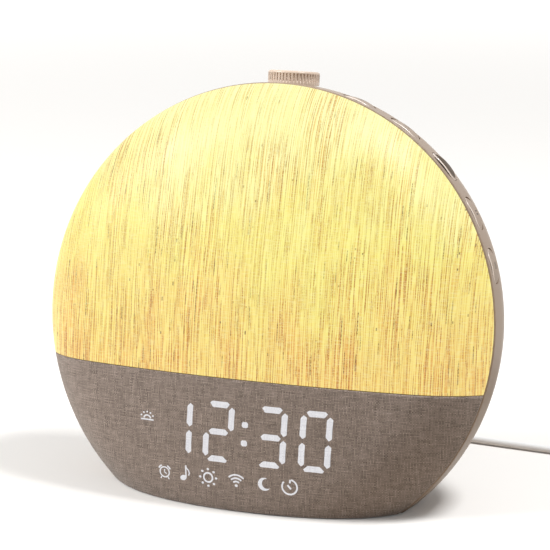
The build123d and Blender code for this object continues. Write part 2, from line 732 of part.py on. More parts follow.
# ================================================================ the face
def face_shell(outer, wall):
    """Dome shell from outer to outer + wall under the face, with its skirt and locating rib."""
    inside = outer + wall
    edge = shoulder_point(outer, slope)
    rib_inside = tongue_radius - TONGUE_WALL
    with BuildPart() as shell:
        with BuildSketch(section()):
            with BuildLine():
                dome_line(outer)
                Polyline(
                    edge,
                    (edge[0], -FACE_SKIRT),
                    (tongue_radius, -FACE_SKIRT),
                    (tongue_radius, -TONGUE_DEPTH),
                    (rib_inside, -TONGUE_DEPTH),
                    (rib_inside, dome_depth(inside, rib_inside)),
                )
                dome_line(inside, shoulder_at(inside, rib_inside))
                Line(crown_point(inside, 0), crown_point(outer, 0))
            make_face()
        revolve(axis=FACE_AXIS)
    return shell.part


with BuildPart() as lamp_panel:
    add(face_shell(0, PANEL_WALL))
    split(bisect_by=across(divider_y + SEAM / 2), keep=Keep.TOP)
save(lamp_panel, "lamp_panel")

with BuildPart() as face_baffle:
    add(face_shell(cloth_inset, BAFFLE_WALL))
    # posts of the display board
    with BuildSketch(FACE.offset(MASK_BACK)):
        with Locations(*display_posts):
            Circle(DISPLAY_POST_RADIUS)
    extrude(amount=DOME_HEIGHT - MASK_BACK)
    # floor over the base plate, with bosses for its front screws
    with BuildSketch(Plane.XY.offset(base_top + CLEAR)):
        with Locations((0, flange_edge)):
            Rectangle(2 * FACE_RADIUS, DOME_HEIGHT, align=(Align.CENTER, Align.MAX))
    extrude(amount=BASE_FLANGE)
    with BuildSketch(Plane.XY.offset(base_top + CLEAR)):
        with Locations(*front_bosses):
            Circle(BOSS_RADIUS)
    extrude(amount=FRONT_BOSS_HEIGHT)
    add(body_volume(cloth_inset, 0), mode=Mode.INTERSECT)
    # window of the display
    with BuildSketch(FACE.offset(MASK_BACK)):
        with Locations(window_centre):
            RectangleRounded(
                window_size[0] + 2 * CLEAR, window_size[1] + 2 * CLEAR, WINDOW_CORNER + CLEAR
            )
    extrude(amount=DOME_HEIGHT, mode=Mode.SUBTRACT)
    with BuildSketch(FACE.offset(MASK_BACK)):
        with Locations(*display_posts):
            Circle(SCREW_HOLE)
    extrude(amount=DISPLAY_SCREW_LENGTH - BOARD_WALL + CLEAR, mode=Mode.SUBTRACT)
    with BuildSketch(Plane.XY.offset(base_top)):
        with Locations(*front_bosses):
            Circle(SCREW_HOLE)
    extrude(amount=SCREW_LENGTH + HOLE_SPARE, mode=Mode.SUBTRACT)
    add(base_slot, mode=Mode.SUBTRACT)
    split(bisect_by=UNDERSIDE, keep=Keep.TOP)
    split(bisect_by=across(divider_y - SEAM / 2 - CLOTH), keep=Keep.BOTTOM)
save(face_baffle, "face_baffle")

with BuildPart() as cloth_cover:
    with BuildSketch(section()):
        with BuildLine():
            dome_line(0)
            Polyline(
                shoulder_point(0, slope),
                (FACE_RADIUS, -FACE_SKIRT),
                (shoulder_point(CLOTH, slope)[0], -FACE_SKIRT),
                shoulder_point(CLOTH, slope),
            )
            dome_line(CLOTH)
            Line(crown_point(CLOTH, 0), crown_point(0, 0))
        make_face()
    revolve(axis=FACE_AXIS)
    split(bisect_by=UNDERSIDE, keep=Keep.TOP)
    split(bisect_by=across(divider_y - SEAM / 2), keep=Keep.BOTTOM)
save(cloth_cover, "cloth_cover")

# ================================================================ lamp
flare_mouth = (tray_flare, dome_depth(PANEL_WALL + CLEAR, tray_flare))

# Wall along the divider, up to the underside of the panel
with BuildPart() as divider_wall:
    with BuildSketch(across(tray_sill)):
        with Locations((0, (tray_front - DOME_HEIGHT) / 2)):
            Rectangle(2 * tray_flare, DOME_HEIGHT + tray_front)
    extrude(amount=TRAY_WALL)
    add(body_volume(PANEL_WALL + CLEAR, 0), mode=Mode.INTERSECT)
    with BuildSketch(FACE.offset(-tray_front)):
        Circle(tray_flare)
    extrude(amount=tray_front + DOME_HEIGHT, mode=Mode.INTERSECT)

with BuildPart() as lamp_reflector:
    with BuildSketch(section()):
        with BuildLine():
            Polyline(
                (0, -tray_back),
                (tray_edge, -tray_back),
                (tray_edge, -tray_front),
                (tray_radius, -tray_front),
                (tray_radius, -FLARE_START - TRAY_WALL),
                (flare_mouth[0], flare_mouth[1] - TRAY_WALL),
                flare_mouth,
                (tray_radius - TRAY_WALL, -FLARE_START),
                (tray_radius - TRAY_WALL, -tray_front),
                (0, -tray_front),
                close=True,
            )
        make_face()
    revolve(axis=FACE_AXIS)
    add(divider_wall.part)
    split(bisect_by=across(tray_sill), keep=Keep.TOP)
    # notch for the encoder's board
    with BuildSketch(knob_plane(encoder_bottom - ENCODER_BOARD_WALL - CLEAR)):
        Rectangle(ENCODER_BOARD_SIDE + 2 * CLEAR, ENCODER_BOARD_SIDE + 2 * CLEAR)
    extrude(amount=inner_radius, mode=Mode.SUBTRACT)
    with BuildSketch(knob_plane(encoder_top - CLEAR)):
        Circle(knob_well + CLEAR)
    extrude(amount=KNOB_RADIUS, mode=Mode.SUBTRACT)
    # screw holes, and the slot of the lamp's connector
    with BuildSketch(FACE.offset(-tray_front)):
        with Locations(*tab_screw_places, *tray_screw_places, *lamp_board_screws):
            Circle(SCREW_HOLE)
        with Locations((LAMP_HEADER_X, lamp_header_y)):
            Rectangle(HEADER_LENGTH + 2 * CLEAR, HEADER_WIDTH + 2 * CLEAR)
    extrude(amount=-TRAY_WALL, mode=Mode.SUBTRACT)
save(lamp_reflector, "lamp_reflector")

with BuildPart() as lamp_board:
    with BuildSketch(FACE.offset(-tray_front)):
        Circle(lamp_board_radius)
        with Locations(*lamp_board_screws):
            Circle(SCREW_HOLE, mode=Mode.SUBTRACT)
    extrude(amount=LAMP_BOARD_WALL)
    split(bisect_by=across(lamp_board_sill), keep=Keep.TOP)
save(lamp_board, "lamp_board")

with BuildPart() as lamp_leds:
    with BuildSketch(FACE.offset(LAMP_BOARD_WALL - tray_front)):
        for ring, count in enumerate(LED_ARCS, 1):
            arc_radius = (lamp_board_radius - LED_MARGIN) * ring / len(LED_ARCS)
            for i in range(count):
                with Locations(polar(arc_radius, (i + 0.5) * 180 / count)):
                    Rectangle(LED_SIDE, LED_SIDE)
    extrude(amount=LED_HEIGHT)
save(lamp_leds, "lamp_leds")

# Board-to-board connector from the lamp's board through the tray to the main board
with BuildPart() as lamp_header:
    with BuildSketch(FACE.offset(-tray_front)):
        with Locations((LAMP_HEADER_X, lamp_header_y)):
            Rectangle(HEADER_LENGTH, HEADER_WIDTH)
    extrude(amount=tray_front - MAIN_BOARD_DEPTH)
save(lamp_header, "lamp_header")

screws(
    lamp_board_screws, FACE.offset(LAMP_BOARD_WALL - tray_front), 1, LAMP_SCREW_LENGTH, "lamp_screws"
)
screws(tray_screw_places, FACE.offset(-tray_front), 1, tray_screw_length, "tray_screws")

# ================================================================ display
lean = tan(radians(DIGIT_SLANT))


def bar_outline(x, y, length, turned):
    """Corners of a digit's bar with its middle at x, y; all bars lean with the digits."""
    tip, half = length / 2, BAR_WIDTH / 2
    corners = [(-tip, 0), (half - tip, half), (tip - half, half), (tip, 0)]
    corners += [(tip - half, -half), (half - tip, -half)]
    if turned:
        corners = [(across_bar, -along_bar) for along_bar, across_bar in corners]
    return [(x + u + lean * (y + v), display_y + y + v) for u, v in corners]


digit_places = [
    DISPLAY_X + pair * PAIR_OFFSET + digit * DIGIT_HALF_PAIR for pair in (-1, 1) for digit in (-1, 1)
]
bars = []
for place in digit_places:
    for row in (-1, 0, 1):
        bars.append((place, row * DIGIT_HEIGHT / 2, TOP_BAR_LENGTH, False))
    for side in (-1, 1):
        for row in (-1, 1):
            bars.append((place + side * DIGIT_WIDTH / 2, row * DIGIT_HEIGHT / 4, BAR_LENGTH, True))
colon_places = [
    (DISPLAY_X + lean * row * COLON_SPREAD / 2, display_y + row * COLON_SPREAD / 2) for row in (-1, 1)
]
icon_places = [(ICON_FIRST + i * ICON_PITCH, icon_y) for i in range(ICON_COUNT)]
mark_places = [(MARK_X, mark_y - i * MARK_PITCH) for i in range(2)]
light_places = [(x + lean * y, display_y + y) for x, y, length, turned in bars]
light_places += colon_places + icon_places + mark_places

with BuildPart() as display_mask:
    with BuildSketch(FACE.offset(MASK_BACK)):
        with Locations(window_centre):
            RectangleRounded(*window_size, WINDOW_CORNER)
    extrude(amount=DOME_HEIGHT - MASK_BACK)
    add(body_volume(cloth_inset, 0), mode=Mode.INTERSECT)
    with BuildSketch(FACE.offset(MASK_BACK)):
        for bar in bars:
            Polygon(*bar_outline(*bar), align=None)
        with Locations(*colon_places):
            Rectangle(COLON_SIDE, COLON_SIDE)
        with Locations(*icon_places):
            Circle(ICON_RADIUS)
        with Locations(*mark_places):
            Circle(MARK_RADIUS)
    extrude(amount=DOME_HEIGHT, mode=Mode.SUBTRACT)
save(display_mask, "display_mask")

with BuildPart() as display_board:
    with BuildSketch(FACE.offset(MASK_BACK)):
        with Locations(window_centre):
            Rectangle(
                window_size[0] + 2 * (DISPLAY_POST_GAP + DISPLAY_POST_RADIUS), window_size[1]
            )
        with Locations(*display_posts):
            Circle(SCREW_HOLE, mode=Mode.SUBTRACT)
    extrude(amount=-BOARD_WALL)
    add(body_volume(baffle_inset + CLEAR, 0), mode=Mode.INTERSECT)
save(display_board, "display_board")

with BuildPart() as display_leds:
    with BuildSketch(FACE.offset(MASK_BACK)):
        with Locations(*light_places):
            Rectangle(DISPLAY_LED, DISPLAY_LED)
    extrude(amount=DISPLAY_LED / 2)
save(display_leds, "display_leds")

screws(
    display_posts, FACE.offset(MASK_BACK - BOARD_WALL), -1, DISPLAY_SCREW_LENGTH, "display_screws"
)

# Flat cable from the display's board straight back to the main board
with BuildPart() as display_ribbon:
    with BuildSketch(FACE.offset(MASK_BACK - BOARD_WALL)):
        with Locations((RIBBON_X, main_board_y)):
            Rectangle(RIBBON_WIDTH, RIBBON_WALL)
    extrude(amount=BOARD_WALL - MASK_BACK - MAIN_BOARD_DEPTH)
save(display_ribbon, "display_ribbon")

# ================================================================ main board
with BuildPart() as main_board:
    with BuildSketch(FACE.offset(-MAIN_BOARD_DEPTH)):
        with Locations((0, main_board_y)):
            Rectangle(MAIN_BOARD_WIDTH, MAIN_BOARD_HEIGHT)
        with Locations(*board_posts):
            Circle(SCREW_HOLE, mode=Mode.SUBTRACT)
    extrude(amount=-BOARD_WALL)
save(main_board, "main_board")

with BuildPart() as main_chips:
    with BuildSketch(FACE.offset(-main_board_back)):
        for x, y, side in CHIPS:
            with Locations((x - MAIN_BOARD_WIDTH / 2, main_board_y + y)):
                Rectangle(side, side)
    extrude(amount=-CHIP_WALL)
save(main_chips, "main_chips")

with BuildPart() as board_capacitors:
    with BuildSketch(FACE.offset(-main_board_back)):
        with Locations((MAIN_BOARD_WIDTH / 2 - CAPACITOR_INSET, main_board_y)):
            with GridLocations(3 * CAPACITOR_RADIUS, 1, 2, 1):
                Circle(CAPACITOR_RADIUS)
    extrude(amount=-CAPACITOR_HEIGHT)
    fillet(board_capacitors.edges().group_by(FACE_AXIS)[0], CAPACITOR_RADIUS / 6)
save(board_capacitors, "board_capacitors")

with BuildPart() as board_connectors:
    with BuildSketch(FACE.offset(-main_board_back)):
        with Locations((0, main_board_y + CONNECTOR_Y)):
            with GridLocations(CONNECTOR_PITCH, 1, 3, 1):
                Rectangle(HEADER_LENGTH, CONNECTOR_WIDTH)
    extrude(amount=-CONNECTOR_HEIGHT)
    with BuildSketch(FACE.offset(-main_board_back - CONNECTOR_HEIGHT)):
        with Locations((0, main_board_y + CONNECTOR_Y)):
            with GridLocations(CONNECTOR_PITCH, 1, 3, 1):
                Rectangle(HEADER_LENGTH - 2 * CONNECTOR_WALL, CONNECTOR_WIDTH - 2 * CONNECTOR_WALL)
    extrude(amount=CONNECTOR_HEIGHT - CONNECTOR_WALL, mode=Mode.SUBTRACT)
save(board_connectors, "board_connectors")

screws(board_posts, FACE.offset(-MAIN_BOARD_DEPTH), 1, SCREW_LENGTH, "board_screws")

with BuildPart() as battery_clip:
    with BuildSketch(FACE.offset(-MAIN_BOARD_DEPTH)):
        with Locations((battery_x, main_board_y)):
            Circle(BATTERY_RADIUS + CLEAR + CLIP_WALL)
    extrude(amount=CLIP_WALL + BATTERY_HEIGHT)
    with BuildSketch(FACE.offset(CLIP_WALL - MAIN_BOARD_DEPTH)):
        with Locations((battery_x, main_board_y)):
            Circle(BATTERY_RADIUS + CLEAR)
        with Locations((battery_x, main_board_y - BATTERY_RADIUS)):
            Rectangle(BATTERY_RADIUS, BATTERY_RADIUS)
    extrude(amount=BATTERY_HEIGHT, mode=Mode.SUBTRACT)
save(battery_clip, "battery_clip")

with BuildPart() as backup_battery:
    with BuildSketch(FACE.offset(CLIP_WALL - MAIN_BOARD_DEPTH)):
        with Locations((battery_x, main_board_y)):
            Circle(BATTERY_RADIUS)
    extrude(amount=BATTERY_HEIGHT)
    chamfer(backup_battery.edges().group_by(FACE_AXIS)[-1], BATTERY_HEIGHT / 6)
save(backup_battery, "backup_battery")

# Socket on the main board, with its mouth behind the hole of the rear cover
socket_mouth = FACE.offset(-back_inside)
with BuildPart() as power_jack:
    with BuildSketch(FACE.offset(-main_board_back)):
        with Locations((SOCKET_X, socket_y)):
            Rectangle(SOCKET_WIDTH, SOCKET_WIDTH)
    extrude(amount=main_board_back - back_inside)
    with BuildSketch(socket_mouth):
        with Locations((SOCKET_X, socket_y)):
            Circle(SOCKET_BORE)
            Circle(SOCKET_PIN, mode=Mode.SUBTRACT)
    extrude(amount=SOCKET_LENGTH, mode=Mode.SUBTRACT)
save(power_jack, "power_jack")

# ================================================================ speaker
with BuildPart() as speaker_gasket:
    with BuildSketch(FACE.offset(-speaker_back)):
        with Locations((0, speaker_y)):
            Circle(SPEAKER_RADIUS)
            Circle(SPEAKER_MOUTH, mode=Mode.SUBTRACT)
        with Locations(*speaker_screw_places):
            Circle(SCREW_HOLE, mode=Mode.SUBTRACT)
    extrude(amount=-GASKET)
save(speaker_gasket, "speaker_gasket")

SPEAKER = Plane(
    origin=FACE.origin + FACE.y_dir * speaker_y - FACE.z_dir * speaker_back,
    x_dir=FACE.x_dir,
    z_dir=FACE.z_dir,
)
SPEAKER_AXIS = Axis(SPEAKER.origin, SPEAKER.z_dir)
SPEAKER_SECTION = Plane(origin=SPEAKER.origin, x_dir=FACE.x_dir, z_dir=-FACE.y_dir)

with BuildPart() as speaker_frame:
    with BuildSketch(SPEAKER_SECTION):
        with BuildLine():
            Polyline(
                (SPEAKER_MOUTH, 0),
                (SPEAKER_RADIUS, 0),
                (SPEAKER_RADIUS, SPEAKER_WALL),
                (SPEAKER_MOUTH + SPEAKER_WALL, SPEAKER_WALL),
                (MAGNET_RADIUS, BASKET_DEPTH),
                (0, BASKET_DEPTH),
                (0, BASKET_DEPTH - SPEAKER_WALL),
                (MAGNET_RADIUS - SPEAKER_WALL, BASKET_DEPTH - SPEAKER_WALL),
                (SPEAKER_MOUTH, SPEAKER_WALL),
                close=True,
            )
        make_face()
    revolve(axis=SPEAKER_AXIS)
    with BuildSketch(SPEAKER):
        with PolarLocations(speaker_screw_circle, 4, start_angle=45):
            Circle(SCREW_HOLE)
    extrude(amount=SPEAKER_WALL, mode=Mode.SUBTRACT)
    # windows of the basket
    with BuildSketch(SPEAKER.offset(SPEAKER_WALL + CLEAR)):
        with PolarLocations((SPEAKER_MOUTH + MAGNET_RADIUS) / 2, BASKET_WINDOWS):
            Rectangle(SPEAKER_MOUTH - MAGNET_RADIUS, MAGNET_RADIUS / 2)
    extrude(amount=BASKET_DEPTH - 2 * SPEAKER_WALL - CLEAR, mode=Mode.SUBTRACT)
save(speaker_frame, "speaker_frame")

with BuildPart() as speaker_magnet:
    with BuildSketch(SPEAKER.offset(BASKET_DEPTH)):
        Circle(MAGNET_RADIUS)
    extrude(amount=MAGNET_HEIGHT)
    chamfer(speaker_magnet.edges().group_by(SPEAKER_AXIS)[-1], MAGNET_HEIGHT / 8)
save(speaker_magnet, "speaker_magnet")

with BuildPart() as speaker_surround:
    with BuildSketch(SPEAKER_SECTION):
        with BuildLine():
            roll = Line((cone_radius, 0), (SPEAKER_MOUTH, 0))
            ThreePointArc(roll @ 1, (roll @ 0.5) - (0, ROLL_HEIGHT), roll @ 0)
        make_face()
        with Locations(((cone_radius + SPEAKER_MOUTH) / 2, SURROUND_WALL / 2)):
            Rectangle(SPEAKER_MOUTH - cone_radius, SURROUND_WALL)
    revolve(axis=SPEAKER_AXIS)
save(speaker_surround, "speaker_surround")

with BuildPart() as speaker_cone:
    with BuildSketch(SPEAKER_SECTION):
        with BuildLine():
            Polyline(
                (cone_radius, 0),
                (cone_radius, SURROUND_WALL),
                (COIL_FORMER, cone_depth + SURROUND_WALL),
                (COIL_FORMER, BASKET_DEPTH - SPEAKER_WALL),
                (0, BASKET_DEPTH - SPEAKER_WALL),
            )
            Line((0, BASKET_DEPTH - SPEAKER_WALL), (0, cone_depth - CAP_HEIGHT))
            ThreePointArc(
                (0, cone_depth - CAP_HEIGHT),
                (COIL_FORMER / 2, cone_depth - 3 / 4 * CAP_HEIGHT),
                (COIL_FORMER, cone_depth),
            )
            Line((COIL_FORMER, cone_depth), (cone_radius, 0))
        make_face()
    revolve(axis=SPEAKER_AXIS)
save(speaker_cone, "speaker_cone")

screws(
    speaker_screw_places,
    FACE.offset(SPEAKER_WALL - speaker_back),
    1,
    SPEAKER_WALL + GASKET + SPEAKER_SEAT - CLEAR,
    "speaker_screws",
)

# ================================================================ keys
strip_angles = (key_angles[0] - KEY_PITCH / 2, key_angles[-1] + KEY_PITCH / 2)


def rim_strip(inside, outside, front, back, angles):
    """Strip round the face's axis between two angles."""
    with BuildPart() as strip:
        with BuildSketch(section(angles[0])):
            with Locations(((inside + outside) / 2, -(front + back) / 2)):
                Rectangle(outside - inside, back - front)
        revolve(axis=FACE_AXIS, revolution_arc=angles[1] - angles[0])
    return strip.part


with BuildPart() as key_bracket:
    add(
        rim_strip(
            bracket_inside,
            key_board_radius,
            BRACKET_FRONT,
            tray_front,
            (tab_angles[0] - TAB_HALF, tab_angles[1] + TAB_HALF),
        )
    )
    for angle in tab_angles:
        add(
            rim_strip(
                (bracket_inside + key_board_radius) / 2,
                tray_edge,
                tray_front - TAB_WALL,
                tray_front,
                (angle - TAB_HALF, angle + TAB_HALF),
            )
        )
    with BuildSketch(FACE.offset(-tray_front)):
        with Locations(*tab_screw_places):
            Circle(SCREW_HOLE)
    extrude(amount=TAB_WALL, mode=Mode.SUBTRACT)
save(key_bracket, "key_bracket")

with BuildPart() as key_board:
    add(
        rim_strip(
            key_board_radius,
            switch_bottom,
            KEY_DEPTH - KEY_WIDTH / 2,
            KEY_DEPTH + KEY_WIDTH / 2,
            strip_angles,
        )
    )
save(key_board, "key_board")

with BuildPart() as key_switches:
    for angle in key_angles:
        with BuildSketch(rim_plane(angle, switch_bottom, KEY_DEPTH)):
            Rectangle(SWITCH_SIDE, SWITCH_SIDE)
        extrude(amount=SWITCH_HEIGHT)
        with BuildSketch(rim_plane(angle, switch_top, KEY_DEPTH)):
            Circle(PLUNGER_RADIUS + RUNNING)
        extrude(amount=-PLUNGER_SEAT - KEY_TRAVEL - CLEAR, mode=Mode.SUBTRACT)
save(key_switches, "key_switches")


def thumb_scoop(angle):
    """Barrel-shaped cutter that lies along a key and leaves an oval hollow in its crown.

    Its axis is where a circle through the hollow's two long edges and its bottom has its middle.
    Its outline sinks towards its ends as far as the crown does, and by the hollow's depth.
    """
    half_width, half_length = SCOOP_WIDTH / 2, SCOOP_LENGTH / 2
    barrel = (half_width**2 + SCOOP_DEPTH**2) / (2 * SCOOP_DEPTH)
    end_fall = KEY_CROWN_RADIUS - sqrt(KEY_CROWN_RADIUS**2 - half_length**2)
    end = barrel - SCOOP_DEPTH + end_fall
    axis_radius = housing_radius + THUMB_CROWN - SCOOP_DEPTH + barrel
    cutter_plane = Plane(
        origin=FACE.origin + radial(angle) * axis_radius - FACE.z_dir * KEY_DEPTH,
        x_dir=radial(angle + 90),
        z_dir=-FACE.z_dir,
    )
    with BuildPart() as cutter:
        with BuildSketch(cutter_plane):
            with BuildLine():
                ThreePointArc((-half_length, -end), (0, -barrel), (half_length, -end))
                Polyline((half_length, -end), (half_length, 0), (-half_length, 0), (-half_length, -end))
            make_face()
        revolve(axis=Axis(cutter_plane.origin, cutter_plane.x_dir))
    return cutter.part


side_buttons = 0
for i, angle in enumerate(key_angles):
    with BuildPart() as plunger:
        with BuildSketch(rim_plane(angle, switch_top - PLUNGER_SEAT, KEY_DEPTH)):
            Circle(PLUNGER_RADIUS)
        extrude(amount=PLUNGER_SEAT + PLUNGER_REACH)
    save(plunger, f"switch_plunger_{i + 1}")

    scooped = i == THUMB_KEY
    key_top = housing_radius + (THUMB_CROWN if scooped else KEY_CROWN)
    with BuildPart() as key:
        with BuildSketch(rim_plane(angle, key_flange_top, KEY_DEPTH)):
            SlotOverall(KEY_LENGTH - 2 * KEY_GAP, KEY_WIDTH - 2 * KEY_GAP)
        extrude(amount=key_top - key_flange_top)
        with BuildSketch(FACE.offset(-KEY_DEPTH)):
            with Locations(polar(key_top - KEY_CROWN_RADIUS, angle)):
                Circle(KEY_CROWN_RADIUS)
        extrude(amount=KEY_WIDTH, both=True, mode=Mode.INTERSECT)
        crown = key.faces().sort_by(Axis(FACE.origin, radial(angle)))[-1]
        fillet(crown.edges(), KEY_EDGE)
        if scooped:
            add(thumb_scoop(angle), mode=Mode.SUBTRACT)
        # flange that keeps it in its slot, and the stem that reaches its switch
        with BuildSketch(rim_plane(angle, key_flange_bottom, KEY_DEPTH)):
            SlotOverall(KEY_LENGTH + 2 * KEY_RIM, KEY_WIDTH + 2 * KEY_RIM)
        extrude(amount=KEY_FLANGE_WALL)
        with BuildSketch(rim_plane(angle, stem_bottom, KEY_DEPTH)):
            Circle(STEM_RADIUS)
        extrude(amount=STEM_LENGTH)
    if scooped:
        save(key, "thumb_button")
    else:
        side_buttons += 1
        save(key, f"side_button_{side_buttons}")

screws(tab_screw_places, FACE.offset(TAB_WALL - tray_front), 1, tab_screw_length, "bracket_screws")

# ================================================================ knob and encoder
def shaft_section(radius, flat):
    """D-shaped outline with its flat at that distance from the axis; call it inside a sketch."""
    Circle(radius)
    with Locations((0, flat)):
        Rectangle(2 * radius, radius, align=(Align.CENTER, Align.MIN), mode=Mode.SUBTRACT)


flat_reach = SHAFT_RADIUS - SHAFT_FLAT
round_start = rotor_top + KNOB_PRESS + CLEAR
hub_bottom = bush_top + KNOB_PRESS + CLEAR

with BuildPart() as encoder_board:
    with BuildSketch(knob_plane(encoder_bottom)):
        Rectangle(ENCODER_BOARD_SIDE, ENCODER_BOARD_SIDE)
    extrude(amount=-ENCODER_BOARD_WALL)
save(encoder_board, "encoder_board")

with BuildPart() as encoder_body:
    with BuildSketch(knob_plane(encoder_bottom)):
        Rectangle(ENCODER_SIDE, ENCODER_SIDE)
    extrude(amount=ENCODER_HEIGHT)
    with BuildSketch(knob_plane(encoder_top)):
        Circle(BUSH_RADIUS)
    extrude(amount=bush_top - encoder_top)
    with BuildSketch(knob_plane(rotor_bottom - CLEAR)):
        Circle(ROTOR_RADIUS + RUNNING)
    extrude(amount=ROTOR_HEIGHT + 2 * CLEAR, mode=Mode.SUBTRACT)
    # bore of the shaft, down to where it stops when the knob is pressed
    with BuildSketch(knob_plane(rotor_bottom - KNOB_PRESS - CLEAR)):
        Circle(SHAFT_RADIUS + RUNNING)
    extrude(amount=bush_top, mode=Mode.SUBTRACT)
save(encoder_body, "encoder_body")

with BuildPart() as encoder_nut:
    with BuildSketch(knob_plane(nut_seat)):
        RegularPolygon(NUT_RADIUS, 6)
        Circle(BUSH_RADIUS + RUNNING, mode=Mode.SUBTRACT)
    extrude(amount=NUT_HEIGHT)
save(encoder_nut, "encoder_nut")

with BuildPart() as encoder_rotor:
    with BuildSketch(knob_plane(rotor_bottom)):
        Circle(ROTOR_RADIUS)
    extrude(amount=ROTOR_HEIGHT)
    with BuildSketch(knob_plane(rotor_bottom)):
        shaft_section(SHAFT_RADIUS + RUNNING, flat_reach + RUNNING)
    extrude(amount=ROTOR_HEIGHT, mode=Mode.SUBTRACT)
save(encoder_rotor, "encoder_rotor")

with BuildPart() as encoder_shaft:
    with BuildSketch(knob_plane(rotor_bottom)):
        shaft_section(SHAFT_RADIUS, flat_reach)
    extrude(amount=round_start - rotor_bottom)
    with BuildSketch(knob_plane(round_start)):
        Circle(SHAFT_RADIUS)
    extrude(amount=hub_bottom - round_start)
    with BuildSketch(knob_plane(hub_bottom)):
        shaft_section(SHAFT_RADIUS, flat_reach)
    extrude(amount=shaft_top - hub_bottom)
save(encoder_shaft, "encoder_shaft")

with BuildPart() as knob:
    with BuildSketch(knob_plane(knob_bottom)):
        Circle(KNOB_RADIUS)
    extrude(amount=knob_top - knob_bottom)
    fillet(knob.edges().group_by(Axis(FACE.origin, radial(90)))[-1], KNOB_EDGE)
    with BuildSketch(knob_plane(knob_bottom)):
        Circle(KNOB_RADIUS - KNOB_WALL)
    extrude(amount=shaft_top - knob_bottom, mode=Mode.SUBTRACT)
    # hub on the shaft
    with BuildSketch(knob_plane(hub_bottom)):
        Circle(SHAFT_RADIUS + KNOB_WALL)
        shaft_section(SHAFT_RADIUS + RUNNING, flat_reach + RUNNING)
    extrude(amount=shaft_top - hub_bottom)
    with BuildSketch(knob_plane(hub_bottom)):
        shaft_section(SHAFT_RADIUS + RUNNING, flat_reach + RUNNING)
    extrude(amount=shaft_top - hub_bottom, mode=Mode.SUBTRACT)
    # grip grooves between the smooth bands
    with BuildSketch(knob_plane(knob_bottom + KNOB_SKIRT)):
        with PolarLocations(KNOB_RADIUS, KNOB_GROOVES):
            Circle(GROOVE_RADIUS)
    extrude(amount=knob_top - KNOB_BAND - knob_bottom - KNOB_SKIRT, mode=Mode.SUBTRACT)
save(knob, "knob")

# ================================================================ outer screws
screws(rear_screw_places, FACE.offset(-well_floor - HOUSING_WALL), -1, SCREW_LENGTH, "rear_screws")
screws(base_screw_places, UNDERSIDE.offset(SCREW_HEAD), -1, SCREW_LENGTH, "base_screws")

# ================================================================ plug and lead
PLUG = Plane(
    origin=FACE.origin + FACE.x_dir * SOCKET_X + FACE.y_dir * socket_y - FACE.z_dir * back_depth,
    x_dir=FACE.x_dir,
    z_dir=-FACE.z_dir,
)
PLUG_AXIS = Axis(PLUG.origin, PLUG.z_dir)
PLUG_SECTION = Plane(origin=PLUG.origin, x_dir=PLUG.x_dir, z_dir=-PLUG.y_dir)

with BuildPart() as dc_plug:
    with BuildSketch(PLUG):
        Circle(PLUG_RADIUS)
    extrude(amount=PLUG_BODY)
    fillet(dc_plug.edges().group_by(PLUG_AXIS)[-1], PLUG_EDGE)
    with BuildSketch(PLUG):
        Circle(PLUG_BARREL)
        Circle(PLUG_BORE, mode=Mode.SUBTRACT)
    extrude(amount=-PLUG_REACH)
save(dc_plug, "dc_plug")

with BuildPart() as cord_strain_relief:
    with BuildSketch(PLUG.offset(PLUG_BODY)):
        Circle(RELIEF_START)
    with BuildSketch(PLUG.offset(PLUG_BODY + RELIEF_LENGTH)):
        Circle(RELIEF_END)
    loft()
    # bending grooves
    with BuildSketch(PLUG_SECTION):
        for i in range(RELIEF_GROOVES):
            share = (i + 1) / (RELIEF_GROOVES + 1)
            reach = RELIEF_START + (RELIEF_END - RELIEF_START) * share
            with Locations((reach, PLUG_BODY + RELIEF_LENGTH * share)):
                Rectangle(2 * RELIEF_CUT, RELIEF_CUT)
    revolve(axis=PLUG_AXIS, mode=Mode.SUBTRACT)
save(cord_strain_relief, "cord_strain_relief")

# The lead lies in shallow bends, then runs straight along the table into its coil.
cord_start = PLUG.origin + PLUG.z_dir * (PLUG_BODY + RELIEF_LENGTH)
cord_exit = cord_start + PLUG.z_dir * CORD_EXIT_RUN
coil_inside = COIL_RADIUS - COIL_TURNS_WIDE * COIL_PITCH / 2
coil_outside = COIL_RADIUS + COIL_TURNS_WIDE * COIL_PITCH / 2
coil_height = COIL_LAYERS * 2 * CORD_RADIUS
coil_entry = (COIL_CENTRE[0] - CORD_RADIUS, COIL_CENTRE[1] - coil_outside + CORD_RADIUS)
CORD_ROUTE = (
    (14.5, 73.0, 7.0),
    (24.5, 80.2, 3.6),
    (38.5, 82.6, 1.7),
    (60.0, 79.9, 1.7),
    (87.0, 77.6, 1.7),
    (116.0, 75.7, 1.7),
)
route = [cord_start, cord_exit, *[Vector(*point) for point in CORD_ROUTE]]
route.append(Vector(*coil_entry, CORD_ROUTE[-1][2]))
bend_radii = []
for before, corner, after in zip(route, route[1:], route[2:]):
    half_turn = radians((corner - before).get_angle(after - corner)) / 2
    shorter_run = min((corner - before).length, (after - corner).length)
    bend_radii.append(BEND_SHARE * shorter_run / tan(half_turn))
print("bend radii of the lead:", [round(radius, 1) for radius in bend_radii])

with BuildPart() as power_cord:
    with BuildLine() as cord_path:
        FilletPolyline(*route, radius=bend_radii)
    with BuildSketch(Plane(origin=cord_start, z_dir=PLUG.z_dir)):
        Circle(CORD_RADIUS)
    sweep()
save(power_cord, "power_cord")
cord_length = sum(edge.length for edge in cord_path.edges())
cord_volume = pi * CORD_RADIUS**2 * cord_length
print("lead to its coil:", round(cord_length, 1))
print("tube over section times length:", round(power_cord.part.volume / cord_volume, 4))

